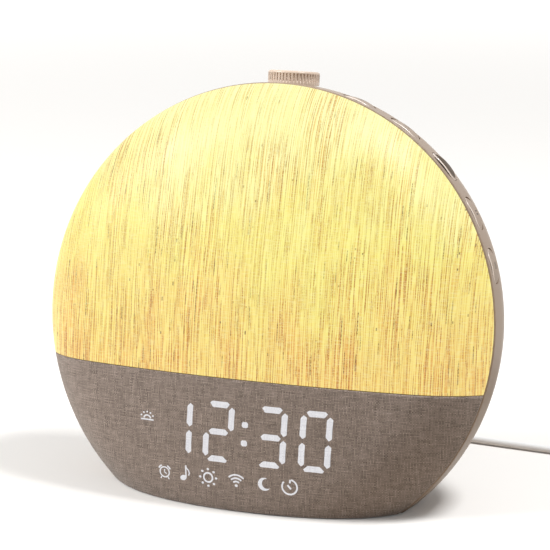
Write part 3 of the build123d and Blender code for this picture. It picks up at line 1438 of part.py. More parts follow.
# Coiled rest of the lead as one ring of its turns' outer shape
with BuildPart() as cord_coil:
    with BuildSketch(Plane.XY):
        with Locations(COIL_CENTRE):
            Circle(coil_outside)
            Circle(coil_inside, mode=Mode.SUBTRACT)
    extrude(amount=coil_height)
    fillet(cord_coil.edges(), CORD_RADIUS)
save(cord_coil, "cord_coil")

# The lead comes round its last turn into the plug's right-hand end
usb_plane = Plane(
    origin=(COIL_CENTRE[0] - USB_SHIFT, COIL_CENTRE[1] + COIL_RADIUS, coil_height),
    x_dir=(1, 0, 0),
    z_dir=(0, 0, 1),
)
with BuildPart() as usb_plug_body:
    with BuildSketch(usb_plane):
        RectangleRounded(USB_LENGTH, USB_WIDTH, USB_CORNER)
    extrude(amount=USB_HEIGHT)
    fillet(usb_plug_body.edges().group_by(Axis.Z)[-1], USB_CORNER / 2)
save(usb_plug_body, "usb_plug_body")

usb_end = Plane(
    origin=usb_plane.origin + Vector(-USB_LENGTH / 2, 0, USB_HEIGHT / 2),
    x_dir=(0, -1, 0),
    z_dir=(-1, 0, 0),
)
shell_inside = (USB_SHELL_WIDTH - 2 * USB_SHELL_WALL, USB_SHELL_HEIGHT - 2 * USB_SHELL_WALL)
with BuildPart() as usb_plug_shell:
    with BuildSketch(usb_end):
        Rectangle(USB_SHELL_WIDTH, USB_SHELL_HEIGHT)
        Rectangle(*shell_inside, mode=Mode.SUBTRACT)
    extrude(amount=USB_SHELL_LENGTH)
    # contact tongue inside the shell
    with BuildSketch(usb_end):
        with Locations((0, shell_inside[1] / 2)):
            Rectangle(shell_inside[0], USB_TONGUE, align=(Align.CENTER, Align.MAX))
    extrude(amount=USB_SHELL_LENGTH - USB_SHELL_WALL)
save(usb_plug_shell, "usb_plug_shell")
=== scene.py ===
"""Sunrise alarm clock: its looks and its soft parts.

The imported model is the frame. Smooth skins, woven cloth, lit digits, the lead and every finish
are added to it here. All lengths are metres. The model's own frame has +Z up and the clock's
face looks along -Y. Places on the face are given in the face's frame: x to the right, y up the
face and z to the front, from the middle of the plane in which the face meets the housing.
"""

import json
from math import atan2, cos, pi, radians, sin, tan

import bmesh
import bpy
from mathutils import Matrix, Vector
import numpy as np

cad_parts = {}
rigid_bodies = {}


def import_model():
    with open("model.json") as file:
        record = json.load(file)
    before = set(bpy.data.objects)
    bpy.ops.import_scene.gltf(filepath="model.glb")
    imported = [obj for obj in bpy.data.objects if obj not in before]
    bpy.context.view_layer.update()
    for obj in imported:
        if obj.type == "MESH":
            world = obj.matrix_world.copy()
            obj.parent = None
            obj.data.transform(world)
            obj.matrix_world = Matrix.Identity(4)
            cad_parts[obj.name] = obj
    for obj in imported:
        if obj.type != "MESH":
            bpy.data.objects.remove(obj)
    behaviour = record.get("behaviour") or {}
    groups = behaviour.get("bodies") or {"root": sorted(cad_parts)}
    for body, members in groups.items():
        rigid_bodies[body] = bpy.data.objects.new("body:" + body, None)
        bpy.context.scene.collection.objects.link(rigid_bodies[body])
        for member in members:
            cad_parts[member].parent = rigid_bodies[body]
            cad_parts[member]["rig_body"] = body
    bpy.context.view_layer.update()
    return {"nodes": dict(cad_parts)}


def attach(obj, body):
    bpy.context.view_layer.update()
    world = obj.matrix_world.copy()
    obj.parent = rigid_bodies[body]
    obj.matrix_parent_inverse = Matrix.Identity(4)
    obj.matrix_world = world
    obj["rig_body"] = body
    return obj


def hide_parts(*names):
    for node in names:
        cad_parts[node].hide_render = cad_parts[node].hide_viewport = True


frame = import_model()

MM = 0.001

# ---------------------------------------------------------------- the clock's own sizes
FACE_RADIUS = 97.3 * MM
DOME_HEIGHT = 30.5 * MM
CROWN_RADIUS = 283 * MM
EDGE_SLOPE = radians(65)
FACE_SKIRT = 1.0 * MM
FACE_TILT = radians(9.6)
CENTRE_HEIGHT = 73.8 * MM
HOUSING_RADIUS = 97.8 * MM
STRAIGHT_RIM = 12.0 * MM
BACK_CURVE = 31.5 * MM
PAD_PROUD = 0.5 * MM  # of the pad under the flat foot
DIVIDER = 22.3 * MM
SEAM = 0.3 * MM
PANEL_WALL = 2.2 * MM
PANEL_EDGE = 0.25 * MM  # rounding of the lamp panel's edges
CLOTH_WALL = 0.6 * MM
KEY_DEPTH = 9.3 * MM
THUMB_ANGLE = radians(44)
SCOOP_LENGTH = 12.6 * MM
SCOOP_WIDTH = 6.8 * MM
SCOOP_REACH = 1.2 * MM  # in from the rim, what counts as the thumb key's hollow
KEY_SKIN = 0.5 * MM  # in from the rim, what counts as a key's outside
GRAIN_LEAN = 0.12  # of the dome's fall, how far the film's grain leans over its shoulder
FACE_MAP = 200 * MM  # of the face, one unit of its UV map
KEY_MAP = 20 * MM  # of a key, one unit of its UV map

# ---------------------------------------------------------------- camera
FRAME_PIXELS = 550
FOCAL_PIXELS = 2214.9  # focal length in pixels of that frame
SENSOR = 36.0
CAMERA_PLACE = Vector((0.31298, -0.83972, 0.31045))
CAMERA_YAW = 0.356  # radians to the left of straight ahead
CAMERA_PITCH = 0.241  # radians down


def add_camera():
    """Camera in front of the clock, to its right and above it, and level from side to side."""
    right = Vector((cos(CAMERA_YAW), sin(CAMERA_YAW), 0))
    back = Vector((
        sin(CAMERA_YAW) * cos(CAMERA_PITCH), -cos(CAMERA_YAW) * cos(CAMERA_PITCH), sin(CAMERA_PITCH)
    ))
    data = bpy.data.cameras.new("camera")
    data.sensor_width = SENSOR
    data.lens = SENSOR * FOCAL_PIXELS / FRAME_PIXELS
    data.clip_start, data.clip_end = 0.05, 50
    camera = bpy.data.objects.new("camera", data)
    camera.matrix_world = Matrix.Translation(CAMERA_PLACE) @ Matrix(
        (right, back.cross(right), back)
    ).transposed().to_4x4()
    bpy.context.scene.collection.objects.link(camera)
    bpy.context.scene.camera = camera


add_camera()

# ---------------------------------------------------------------- worked-out frame of the face
crown_centre = DOME_HEIGHT - CROWN_RADIUS
front_reach = CROWN_RADIUS + crown_centre * cos(FACE_TILT)
back_reach = (
    (HOUSING_RADIUS - BACK_CURVE) * sin(FACE_TILT) + STRAIGHT_RIM * cos(FACE_TILT) + BACK_CURVE
)
face_y = (front_reach - back_reach) / 2
shoulder_radius = (CROWN_RADIUS**2 - FACE_RADIUS**2 - crown_centre**2) / (
    2 * (CROWN_RADIUS - FACE_RADIUS * sin(EDGE_SLOPE) + crown_centre * cos(EDGE_SLOPE))
)
shoulder_x = FACE_RADIUS - shoulder_radius * sin(EDGE_SLOPE)
shoulder_y = -shoulder_radius * cos(EDGE_SLOPE)
join_radius = CROWN_RADIUS * sin(atan2(shoulder_x, shoulder_y - crown_centre))


def from_face(points):
    """Points of the face's frame as model points: the frame leans back by the tilt."""
    x, y, z = np.moveaxis(np.asarray(points, float), -1, 0)
    return np.stack([
        x,
        face_y + y * sin(FACE_TILT) - z * cos(FACE_TILT),
        CENTRE_HEIGHT + y * cos(FACE_TILT) + z * sin(FACE_TILT),
    ], -1)


def to_face(points):
    """Model points in the face's frame, the other way round from from_face."""
    x, y, z = np.moveaxis(np.asarray(points, float), -1, 0)
    out, up = y - face_y, z - CENTRE_HEIGHT
    return np.stack([
        x,
        out * sin(FACE_TILT) + up * cos(FACE_TILT),
        up * sin(FACE_TILT) - out * cos(FACE_TILT),
    ], -1)


def dome_height(radius, rise=0.0):
    """Height of the face at that distance from its axis: a large crown arc centred on the axis,
    then a shoulder arc that carries on its slope down to the edge. rise adds to both radii."""
    radius = np.minimum(radius, FACE_RADIUS + rise)
    crown = crown_centre + np.sqrt(np.maximum((CROWN_RADIUS + rise) ** 2 - radius**2, 0))
    out = np.maximum(radius - shoulder_x, 0)
    shoulder = shoulder_y + np.sqrt(np.maximum((shoulder_radius + rise) ** 2 - out**2, 0))
    return np.where(radius < join_radius, crown, shoulder)


# ---------------------------------------------------------------- mesh tools
CREASE = radians(30)  # turn of a surface that stays a sharp edge


def make_mesh(name, points, faces, body="root"):
    """One piece from an array of model points and an array or list of faces."""
    mesh = bpy.data.meshes.new(name)
    mesh.from_pydata(np.asarray(points).reshape(-1, 3).tolist(), [], [list(f) for f in faces])
    mesh.shade_smooth()
    piece = bpy.data.objects.new(name, mesh)
    bpy.context.scene.collection.objects.link(piece)
    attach(piece, body)
    return piece


def grid_faces(rows, columns, wrap=False, start=0):
    """Quads of a grid whose points run along its columns first; wrap joins the last column to
    the first."""
    across = columns if wrap else columns - 1
    row, column = np.meshgrid(np.arange(rows - 1), np.arange(across), indexing="ij")
    here = row * columns + column
    beside = row * columns + (column + 1) % columns
    return np.stack([here, beside, beside + columns, here + columns], -1).reshape(-1, 4) + start


def merge_close(mesh, distance):
    """Joins the points of a mesh that lie closer together than the distance."""
    joined = bmesh.new()
    joined.from_mesh(mesh)
    bmesh.ops.remove_doubles(joined, verts=joined.verts, dist=distance)
    joined.to_mesh(mesh)
    joined.free()


def vectors(items, field):
    """One vector from each of a mesh's points or faces, as the rows of an array."""
    values = np.empty(len(items) * 3)
    items.foreach_get(field, values)
    return values.reshape(-1, 3)


def add_map(piece, name, places):
    """UV map from one flat place for each point of the piece."""
    corners = np.empty(len(piece.data.loops), np.int32)
    piece.data.loops.foreach_get("vertex_index", corners)
    layer = piece.data.uv_layers.new(name=name)
    layer.data.foreach_set("uv", places[corners].astype(np.float32).ravel())


def face_map(piece, face_points):
    """UV map of the face, x to the right and y up it, with the face's middle in its middle. It
    leans to the side by a share of the dome's fall."""
    places = np.asarray(face_points).reshape(-1, 3)
    lean = np.stack([GRAIN_LEAN * (DOME_HEIGHT - places[:, 2]), np.zeros(len(places))], -1)
    add_map(piece, "face", (places[:, :2] + lean) / FACE_MAP + 0.5)


def modifier(piece, kind, **settings):
    """A live modifier of that kind on the piece."""
    made = piece.modifiers.new(kind.lower(), kind)
    for name, value in settings.items():
        setattr(made, name, value)
    return made


def smooth_copy(node):
    """A merged copy of a CAD node's mesh, shaded smooth except where it turns by more than the
    crease angle. It stands for the node."""
    source = frame["nodes"][node]
    mesh = source.data.copy()
    merge_close(mesh, 0.001 * MM)
    mesh.shade_smooth()
    mesh.set_sharp_from_angle(angle=CREASE)
    piece = bpy.data.objects.new(node + "_skin", mesh)
    bpy.context.scene.collection.objects.link(piece)
    modifier(piece, "WEIGHTED_NORMAL", keep_sharp=True)
    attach(piece, source["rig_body"])
    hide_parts(node)
    return piece


# ---------------------------------------------------------------- the lead
CORD_RADIUS = 1.6 * MM
ROUTE = [
    (0.0100, 0.05207, 0.01307),
    (0.0100, 0.06291, 0.01123),
    (0.0145, 0.0730, 0.0070),
    (0.0245, 0.0802, 0.0036),
    (0.0385, 0.0826, 0.0017),
    (0.0600, 0.0799, 0.0017),
    (0.0870, 0.0776, 0.0017),
    (0.1160, 0.0757, 0.0017),
]
COIL_CENTRE = (0.146, 0.099)
COIL_RADIUS = 19.2 * MM
COIL_PITCH = 3.3 * MM
TURNS_WIDE = 4
COIL_TURNS = 10.3
COIL_START = radians(-90)
COIL_LIFT = 0.02 * MM  # of the lowest turns over the table
TURN_POINTS = 16
STEP_START, STEP_END = 0.74, 0.90  # part of each turn in which it moves over to the next one
CLIMB_START = 0.57  # where the last turn of a layer begins to climb
RISE_TO_PLUG = [
    (0.1665, 0.1060, 0.0092),
    (0.1650, 0.1135, 0.0118),
    (0.1600, 0.1180, 0.0136),
    (0.1530, 0.1182, 0.0136),
]


def ease(share):
    """Share from 0 to 1 that starts and ends level."""
    share = min(max(share, 0.0), 1.0)
    return share * share * (3 - 2 * share)


def coil_point(turn):
    """Point of the coil after that many turns: level circles side by side, each with a short
    step over to the next, and a climb on to them at the end of each layer of four."""
    layer, place = divmod(turn, TURNS_WIDE)
    ring, share = divmod(place, 1.0)
    over = ease((share - STEP_START) / (STEP_END - STEP_START))
    climb = 0.0
    if ring == TURNS_WIDE - 1:
        over = 0.0
        climb = ease((share - CLIMB_START) / (STEP_START - CLIMB_START))
    moved = ring + over
    if int(layer) % 2:
        moved = TURNS_WIDE - 1 - moved
    outer = COIL_RADIUS + (TURNS_WIDE - 1) * COIL_PITCH / 2
    radius = (outer - moved * COIL_PITCH) / cos(pi / TURN_POINTS)
    angle = COIL_START + 2 * pi * turn
    return (
        COIL_CENTRE[0] + radius * cos(angle),
        COIL_CENTRE[1] + radius * sin(angle),
        CORD_RADIUS + COIL_LIFT + (layer + climb) * 2 * CORD_RADIUS,
    )


def lead():
    """The whole lead as one smooth curve: its route, the coil and the way up to its plug."""
    points = list(ROUTE)
    points += [coil_point(i / TURN_POINTS) for i in range(int(COIL_TURNS * TURN_POINTS) + 1)]
    points += RISE_TO_PLUG
    curve = bpy.data.curves.new("lead", "CURVE")
    curve.dimensions = "3D"
    curve.bevel_depth = 1.0  # times each point's own radius
    curve.bevel_resolution = 5
    curve.resolution_u = 6
    curve.use_fill_caps = True
    spline = curve.splines.new("NURBS")
    spline.points.add(len(points) - 1)
    for point, place in zip(spline.points, points):
        point.co = (*place, 1)
        point.radius = CORD_RADIUS
    spline.order_u = 3
    spline.use_endpoint_u = True
    piece = bpy.data.objects.new("lead", curve)
    bpy.context.scene.collection.objects.link(piece)
    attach(piece, "root")
    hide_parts("power_cord", "cord_coil")
    return piece


lead_piece = lead()
plug_pieces = [
    smooth_copy(node)
    for node in ("dc_plug", "cord_strain_relief", "usb_plug_body", "usb_plug_shell")
]


# ---------------------------------------------------------------- the face's skins
SKIN_COLUMNS, SKIN_ROWS = 241, 90
ROW_SPREAD = 0.9  # power on the rows' shares of a ray: a smaller one moves them towards the rim
HALVINGS = 40  # steps in which the cloth's lower edge is closed in on


def fan(origin_y, start_angle, end_angle, reach):
    """Grid of face points on rays from a place on the face's middle line. A ray's points lie at
    shares of its reach that close up towards the rim, where the shoulder curves most."""
    angle = np.linspace(start_angle, end_angle, SKIN_COLUMNS)
    share = np.sin(np.linspace(0, pi / 2, SKIN_ROWS)) ** ROW_SPREAD
    length = reach(origin_y, angle)
    x = share[:, None] * (length * np.cos(angle))[None, :]
    y = origin_y + share[:, None] * (length * np.sin(angle))[None, :]
    return np.stack([x, y, dome_height(np.hypot(x, y))], -1)


def rim_reach(origin_y, angle):
    """Distance from the fan's origin to the face's round edge."""
    along = origin_y * np.sin(angle)
    return -along + np.sqrt(along**2 - origin_y**2 + FACE_RADIUS**2)


def foot_reach(origin_y, angle):
    """Distance to the face's edge or to the flat underside, whichever comes first. The second
    one is halved in on, because the dome's height changes along the ray."""
    near, far = np.zeros_like(angle), rim_reach(origin_y, angle)
    for _ in range(HALVINGS):
        middle = (near + far) / 2
        x, y = middle * np.cos(angle), origin_y + middle * np.sin(angle)
        z = CENTRE_HEIGHT + y * cos(FACE_TILT) + dome_height(np.hypot(x, y)) * sin(FACE_TILT)
        above = z > PAD_PROUD
        near, far = np.where(above, middle, near), np.where(above, far, middle)
    return far


def skirted(points):
    """Adds one row to a face grid: its last row carried straight back along the face's axis by
    the skirt's depth, where that row runs along the face's round edge."""
    last = points[-1].copy()
    last[:, 2] -= FACE_SKIRT * (np.hypot(last[:, 0], last[:, 1]) > FACE_RADIUS - 0.01 * MM)
    return np.concatenate([points, last[None]])


def skin(name, points, node, wall):
    """Thin shell whose outer surface is the grid and its skirt; it stands for the CAD node."""
    points = skirted(points)
    rows, columns, _ = points.shape
    piece = make_mesh(name, from_face(points), grid_faces(rows, columns)[:, ::-1])
    face_map(piece, points)
    merge_close(piece.data, 0.0001 * MM)
    modifier(piece, "SOLIDIFY", thickness=wall, offset=-1)
    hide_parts(node)
    return piece


panel_points = fan(SEAM / 2 - DIVIDER, 0, pi, rim_reach)
cloth_points = fan(-SEAM / 2 - DIVIDER, -pi, 0, foot_reach)
panel_skin = skin("lamp_skin", panel_points, "lamp_panel", PANEL_WALL)
cloth_skin = skin("cloth_skin", cloth_points, "cloth_cover", CLOTH_WALL)
modifier(
    panel_skin, "BEVEL", width=PANEL_EDGE, segments=2, limit_method="ANGLE", angle_limit=radians(60)
)

# ---------------------------------------------------------------- the lit display
DIGIT_PLACES = {"1": -25.8, "2": -7.4, "3": 15.1, "0": 33.6}  # mm, middles from left to right
DIGIT_Y = -44.7
BAR_SIDE = 5.35  # mm from a digit's middle to its upright bars
BAR_ROW = 11.45  # mm between the rows of level bars
UPRIGHT_LENGTH, LEVEL_LENGTH, BAR_WIDTH = 9.9, 8.6, 2.9
SLANT = tan(radians(3.4))
TIP_LIFT = 0.2  # mm, how far a level bar's points lie towards the digit's outside
LOWER_SLOPE, UPPER_SLOPE = 0.8, 1.15  # of a bar's ends under and over their points
BAR_SOFT = 0.3  # mm, rounding of a bar's corners
BAR_BEND = 0.35 * BAR_SOFT
COLON_X, COLON_Y, COLON_SIDE, COLON_CORNER = 3.95, (-40.6, -48.3), 2.7, 0.6
ICON_Y = -64.6
STROKE = 0.8
PATCH_LOW, PATCH_HIGH = -0.03, 0.06  # mm, a lit patch's edge and its middle above the cloth
EDGE_SHARE, END_SHARE = 0.14, 0.1  # of a patch's width and of its end steps that its slopes take
# places of a digit's bars: across and up in half steps of the digit, and whether it is upright
BARS = {
    "top": (0, 2, False), "middle": (0, 0, False), "bottom": (0, -2, False),
    "upper left": (-1, 1, True), "upper right": (1, 1, True),
    "lower left": (-1, -1, True), "lower right": (1, -1, True),
}
LIT_BARS = {
    "1": ("upper right", "lower right"),
    "2": ("top", "upper right", "middle", "lower left", "bottom"),
    "3": ("top", "upper right", "middle", "lower right", "bottom"),
    "0": ("top", "upper left", "upper right", "lower left", "lower right", "bottom"),
}


class LitPatches:
    """Thin lit patches on the cloth, collected into one mesh."""

    def __init__(self):
        self.points, self.faces, self.count = [], [], 0

    @staticmethod
    def with_ends(line):
        """The line with one more point close to each of its ends."""
        start = (1 - END_SHARE) * line[:1] + END_SHARE * line[1:2]
        end = (1 - END_SHARE) * line[-1:] + END_SHARE * line[-2:-1]
        return np.concatenate([line[:1], start, line[1:-1], end, line[-1:]])

    def strip(self, first, second, closed=False):
        """Patch between two lines of the same number of points: it rises from a low edge to two
        raised rows close inside it. An open strip also falls to its two ends."""
        first, second = np.asarray(first, float), np.asarray(second, float)
        if not closed:
            first, second = self.with_ends(first), self.with_ends(second)
        share = np.array([0, EDGE_SHARE, 1 - EDGE_SHARE, 1])[:, None, None]
        flat = first[None] * (1 - share) + second[None] * share
        rows, columns, _ = flat.shape
        rise = np.array([0, 1, 1, 0.0])[:, None] * np.ones(columns)[None]
        if not closed:
            rise[:, 0] = rise[:, -1] = 0
        height = PATCH_LOW + (PATCH_HIGH - PATCH_LOW) * rise
        flat = flat * MM
        z = dome_height(np.hypot(flat[..., 0], flat[..., 1])) + height * MM
        self.points.append(np.concatenate([flat, z[..., None]], -1).reshape(-1, 3))
        self.faces.append(grid_faces(rows, columns, wrap=closed, start=self.count))
        self.count += rows * columns

    def stroke(self, line, width=STROKE, closed=False):
        """Strip of even width along a line: each point is set off square to its neighbours."""
        line = np.asarray(line, float)
        if closed:
            ahead = np.roll(line, -1, 0) - np.roll(line, 1, 0)
        else:
            ahead = np.gradient(line, axis=0)
        ahead /= np.linalg.norm(ahead, axis=1)[:, None]
        side = np.stack([ahead[:, 1], -ahead[:, 0]], -1) * width / 2
        self.strip(line - side, line + side, closed)

    def dot(self, x, y, radius, height=None, turn=0.0):
        """Round or oval dot: a strip between the upper and the lower half of its outline."""
        angle = np.linspace(pi, 0, 9)
        upper = np.stack([radius * np.cos(angle), (height or radius) * np.sin(angle)], -1)
        lean = np.array([[cos(turn), sin(turn)], [-sin(turn), cos(turn)]])
        self.strip((x, y) + (upper * (1, -1)) @ lean, (x, y) + upper @ lean)

    def arc(self, x, y, radius, start, end, width=STROKE):
        """Stroke along part of a circle, between two angles in degrees."""
        angle = np.radians(np.linspace(start, end, max(4, int(abs(end - start) / 15) + 1)))
        self.stroke(np.stack([x + radius * np.cos(angle), y + radius * np.sin(angle)], -1), width)

    def ring(self, x, y, radius, width=STROKE):
        """Closed stroke along a circle."""
        angle = np.linspace(0, 2 * pi, 32, endpoint=False)
        line = np.stack([x + radius * np.cos(angle), y + radius * np.sin(angle)], -1)
        self.stroke(line, width, closed=True)

    def piece(self, name):
        """All patches so far as one piece on the cloth."""
        face_points = np.concatenate(self.points)
        made = make_mesh(name, from_face(face_points), np.concatenate(self.faces))
        face_map(made, face_points)
        return made


def digit_bar(patches, x, y, length, upright, tip):
    """Long six-sided bar with rounded corners; tip is how far its points lie above its middle
    line. An upright bar is the level one turned by a quarter."""
    half, end = BAR_WIDTH / 2, length / 2

    def side(height, slope):
        """Corners along one long side, from the bar's one point to its other."""
        corner = end - abs(height - tip) * slope
        bent = height - BAR_BEND * np.sign(height)
        return [
            (-end, tip), (-corner - BAR_SOFT, bent), (-corner + BAR_SOFT, height),
            (corner - BAR_SOFT, height), (corner + BAR_SOFT, bent), (end, tip),
        ]

    lines = [np.array(side(-half, LOWER_SLOPE)), np.array(side(half, UPPER_SLOPE))]
    if upright:
        lines = [line[:, ::-1] * (-1, 1) for line in lines[::-1]]
    for line in lines:
        line += (x, y)
        line[:, 0] += (line[:, 1] - DIGIT_Y) * SLANT
    patches.strip(*lines)


def colon_dot(patches, y):
    """Square dot with cut corners, on the digits' slant."""
    x = COLON_X + (y - DIGIT_Y) * SLANT
    half = COLON_SIDE / 2
    edge = [-half, -half + COLON_CORNER, half - COLON_CORNER, half]
    depth = [half - COLON_CORNER, half, half, half - COLON_CORNER]
    lower = [(x + a, y - b) for a, b in zip(edge, depth)]
    upper = [(x + a, y + b) for a, b in zip(edge, depth)]
    patches.strip(lower, upper)


def lit_digits():
    """Four digits of seven places for bars each, and the colon between the two pairs."""
    patches = LitPatches()
    for digit, x in DIGIT_PLACES.items():
        for bar in LIT_BARS[digit]:
            across, up, upright = BARS[bar]
            tip = 0 if upright else TIP_LIFT * up
            length = UPRIGHT_LENGTH if upright else LEVEL_LENGTH
            bar_x, bar_y = x + across * BAR_SIDE, DIGIT_Y + up * BAR_ROW / 2
            digit_bar(patches, bar_x, bar_y, length, upright, tip)
    for y in COLON_Y:
        colon_dot(patches, y)
    return patches.piece("lit_digits")


def alarm_clock_sign(patches, x, y):
    """Ring with two hands, a bell as an arc on each side of its top, and two feet."""
    patches.ring(x, y, 2.15, 0.65)
    patches.stroke([(x, y + 1.25), (x, y + 0.5), (x, y)], 0.5)
    patches.stroke([(x - 0.1, y), (x + 0.5, y - 0.4), (x + 0.95, y - 0.7)], 0.5)
    for side in (-1, 1):
        patches.arc(x, y, 3.05, 90 - side * 24, 90 - side * 62, 0.75)
        foot = [(x + side * 1.5, y - 2.1), (x + side * 1.75, y - 2.5), (x + side * 2.0, y - 2.95)]
        patches.stroke(foot, 0.6)


def note_sign(patches, x, y):
    """Tilted oval head, upright stem and a bent flag."""
    patches.dot(x - 0.9, y - 2.35, 1.5, 1.25, radians(20))
    patches.stroke([(x + 0.3, y - 2.3), (x + 0.3, y + 0.5), (x + 0.3, y + 3.1)], 0.7)
    flag = [(0.25, 3.1), (0.7, 1.9), (1.6, 0.9), (1.9, -0.2), (1.5, -1.2)]
    patches.stroke([(x + out, y + up) for out, up in flag], 0.65)


def sun_sign(patches, x, y):
    """Ring with eight dots round it."""
    patches.ring(x, y, 1.95)
    for i in range(8):
        turn = i * pi / 4
        patches.dot(x + 3.55 * cos(turn), y + 3.55 * sin(turn), 0.55)


def radio_sign(patches, x, y):
    """Three waves over a dot."""
    patches.dot(x, y, 0.65)
    for radius in (1.8, 3.2, 4.6):
        patches.arc(x, y, radius, 135, 45)


def moon_sign(patches, x, y):
    """Crescent between an arc of its outer circle and an arc of the circle that bites into it."""
    lean = radians(195)
    swing, bite = np.radians(np.linspace((60, 75), (330, 315), 19)).T
    outer = np.stack([x + 2.8 * np.cos(swing), y + 2.8 * np.sin(swing)], -1)
    inner_x = x - 1.25 * cos(lean) + 2.1 * np.cos(bite)
    inner = np.stack([inner_x, y - 1.25 * sin(lean) + 2.1 * np.sin(bite)], -1)
    inner[0], inner[-1] = outer[0], outer[-1]
    patches.strip(outer, inner)


def timer_sign(patches, x, y):
    """Open circle with a mark at its top and a slanted hand."""
    patches.arc(x, y, 3.15, 78, -221)
    patches.stroke([(x + 0.35, y + 3.1), (x + 0.2, y + 2.4), (x + 0.1, y + 1.6)])
    patches.stroke([(x + 0.6, y - 0.9), (x - 0.1, y - 0.1), (x - 0.9, y + 0.8)], 0.9)


def sunrise_sign(patches, x, y):
    """Half a sun and its rays over a level line."""
    patches.stroke([(x - 3.1, y), (x, y), (x + 3.1, y)], 0.7)
    patches.arc(x, y + 0.1, 1.7, 165, 15, 0.7)
    for angle in (150, 120, 90, 60, 30):
        turn = radians(angle)
        patches.dot(x + 3.15 * cos(turn), y + 0.1 + 3.15 * sin(turn), 0.42)


SIGNS = [  # each sign and its place on the face, in millimetres
    (alarm_clock_sign, -32.3, ICON_Y - 0.2),
    (note_sign, -22.7, ICON_Y + 0.85),
    (sun_sign, -12.3, ICON_Y),
    (radio_sign, 0.1, ICON_Y - 2.0),
    (moon_sign, 12.2, ICON_Y),
    (timer_sign, 22.9, ICON_Y),
    (sunrise_sign, -40.0, -43.3),
]


def lit_icons():
    """Row of small signs under the digits, and a rising sun left of them for the morning hours."""
    patches = LitPatches()
    for sign, x, y in SIGNS:
        sign(patches, x, y)
    return patches.piece("lit_icons")


digit_piece = lit_digits()
icon_piece = lit_icons()

# ---------------------------------------------------------------- moulded parts
# cosine of a key face's turn from straight out, under which it is a wall, or a rounded edge
WALL_FACING, EDGE_FACING = 0.2, 0.93

housing_pieces = [smooth_copy(node) for node in ("main_housing", "rear_cover", "base_plate")]
pad_piece = smooth_copy("base_pad")
key_pieces = [smooth_copy(f"side_button_{i + 1}") for i in range(4)]
thumb_piece = smooth_copy("thumb_button")
knob_piece = smooth_copy("knob")


def key_faces(piece):
    """Material slot of each face of a key: 0 on its outer face, 1 on its rounded edge, which looks
    neither straight out of the rim nor along it and gets a painted highlight, and 2 on the walls in
    the gap under that edge, which get painted shade."""
    middles = to_face(vectors(piece.data.polygons, "center"))
    normals = to_face(vectors(piece.data.polygons, "normal")) - to_face(np.zeros((1, 3)))
    outward = middles[:, :2] / np.linalg.norm(middles[:, :2], axis=1)[:, None]
    facing = (normals[:, :2] * outward).sum(1)
    near_rim = np.hypot(*middles[:, :2].T) > HOUSING_RADIUS - KEY_SKIN
    return np.where(facing < WALL_FACING, 2, (facing < EDGE_FACING) & near_rim)


def scoop_faces(piece):
    """Which faces of the thumb key lie in its hollow: their middles are inside the hollow's oval
    seen from outside, near the rim's radius."""
    x, y, z = to_face(vectors(piece.data.polygons, "center")).T
    along = x * sin(THUMB_ANGLE) - y * cos(THUMB_ANGLE)
    out = x * cos(THUMB_ANGLE) + y * sin(THUMB_ANGLE)
    oval = (along * 2 / SCOOP_LENGTH) ** 2 + ((z + KEY_DEPTH) * 2 / SCOOP_WIDTH) ** 2
    return (oval < 1.0) & (out > HOUSING_RADIUS - SCOOP_REACH)


def key_map(piece):
    """UV map on a key: x along the rim and y towards the front, with the key's own middle in its
    middle."""
    x, y, z = to_face(vectors(piece.data.vertices, "co")).T
    angle = atan2(y.mean(), x.mean())
    along = x * sin(angle) - y * cos(angle)
    add_map(piece, "key", np.stack([along, z + KEY_DEPTH], -1) / KEY_MAP + 0.5)


# ---------------------------------------------------------------- shader tools
def linear(red, green, blue):
    """Colour from 0 to 255, as a screen shows it, in the renderer's linear numbers."""
    shares = np.array([red, green, blue]) / 255
    values = np.where(shares <= 0.04045, shares / 12.92, ((shares + 0.055) / 1.055) ** 2.4)
    return (*values.tolist(), 1.0)


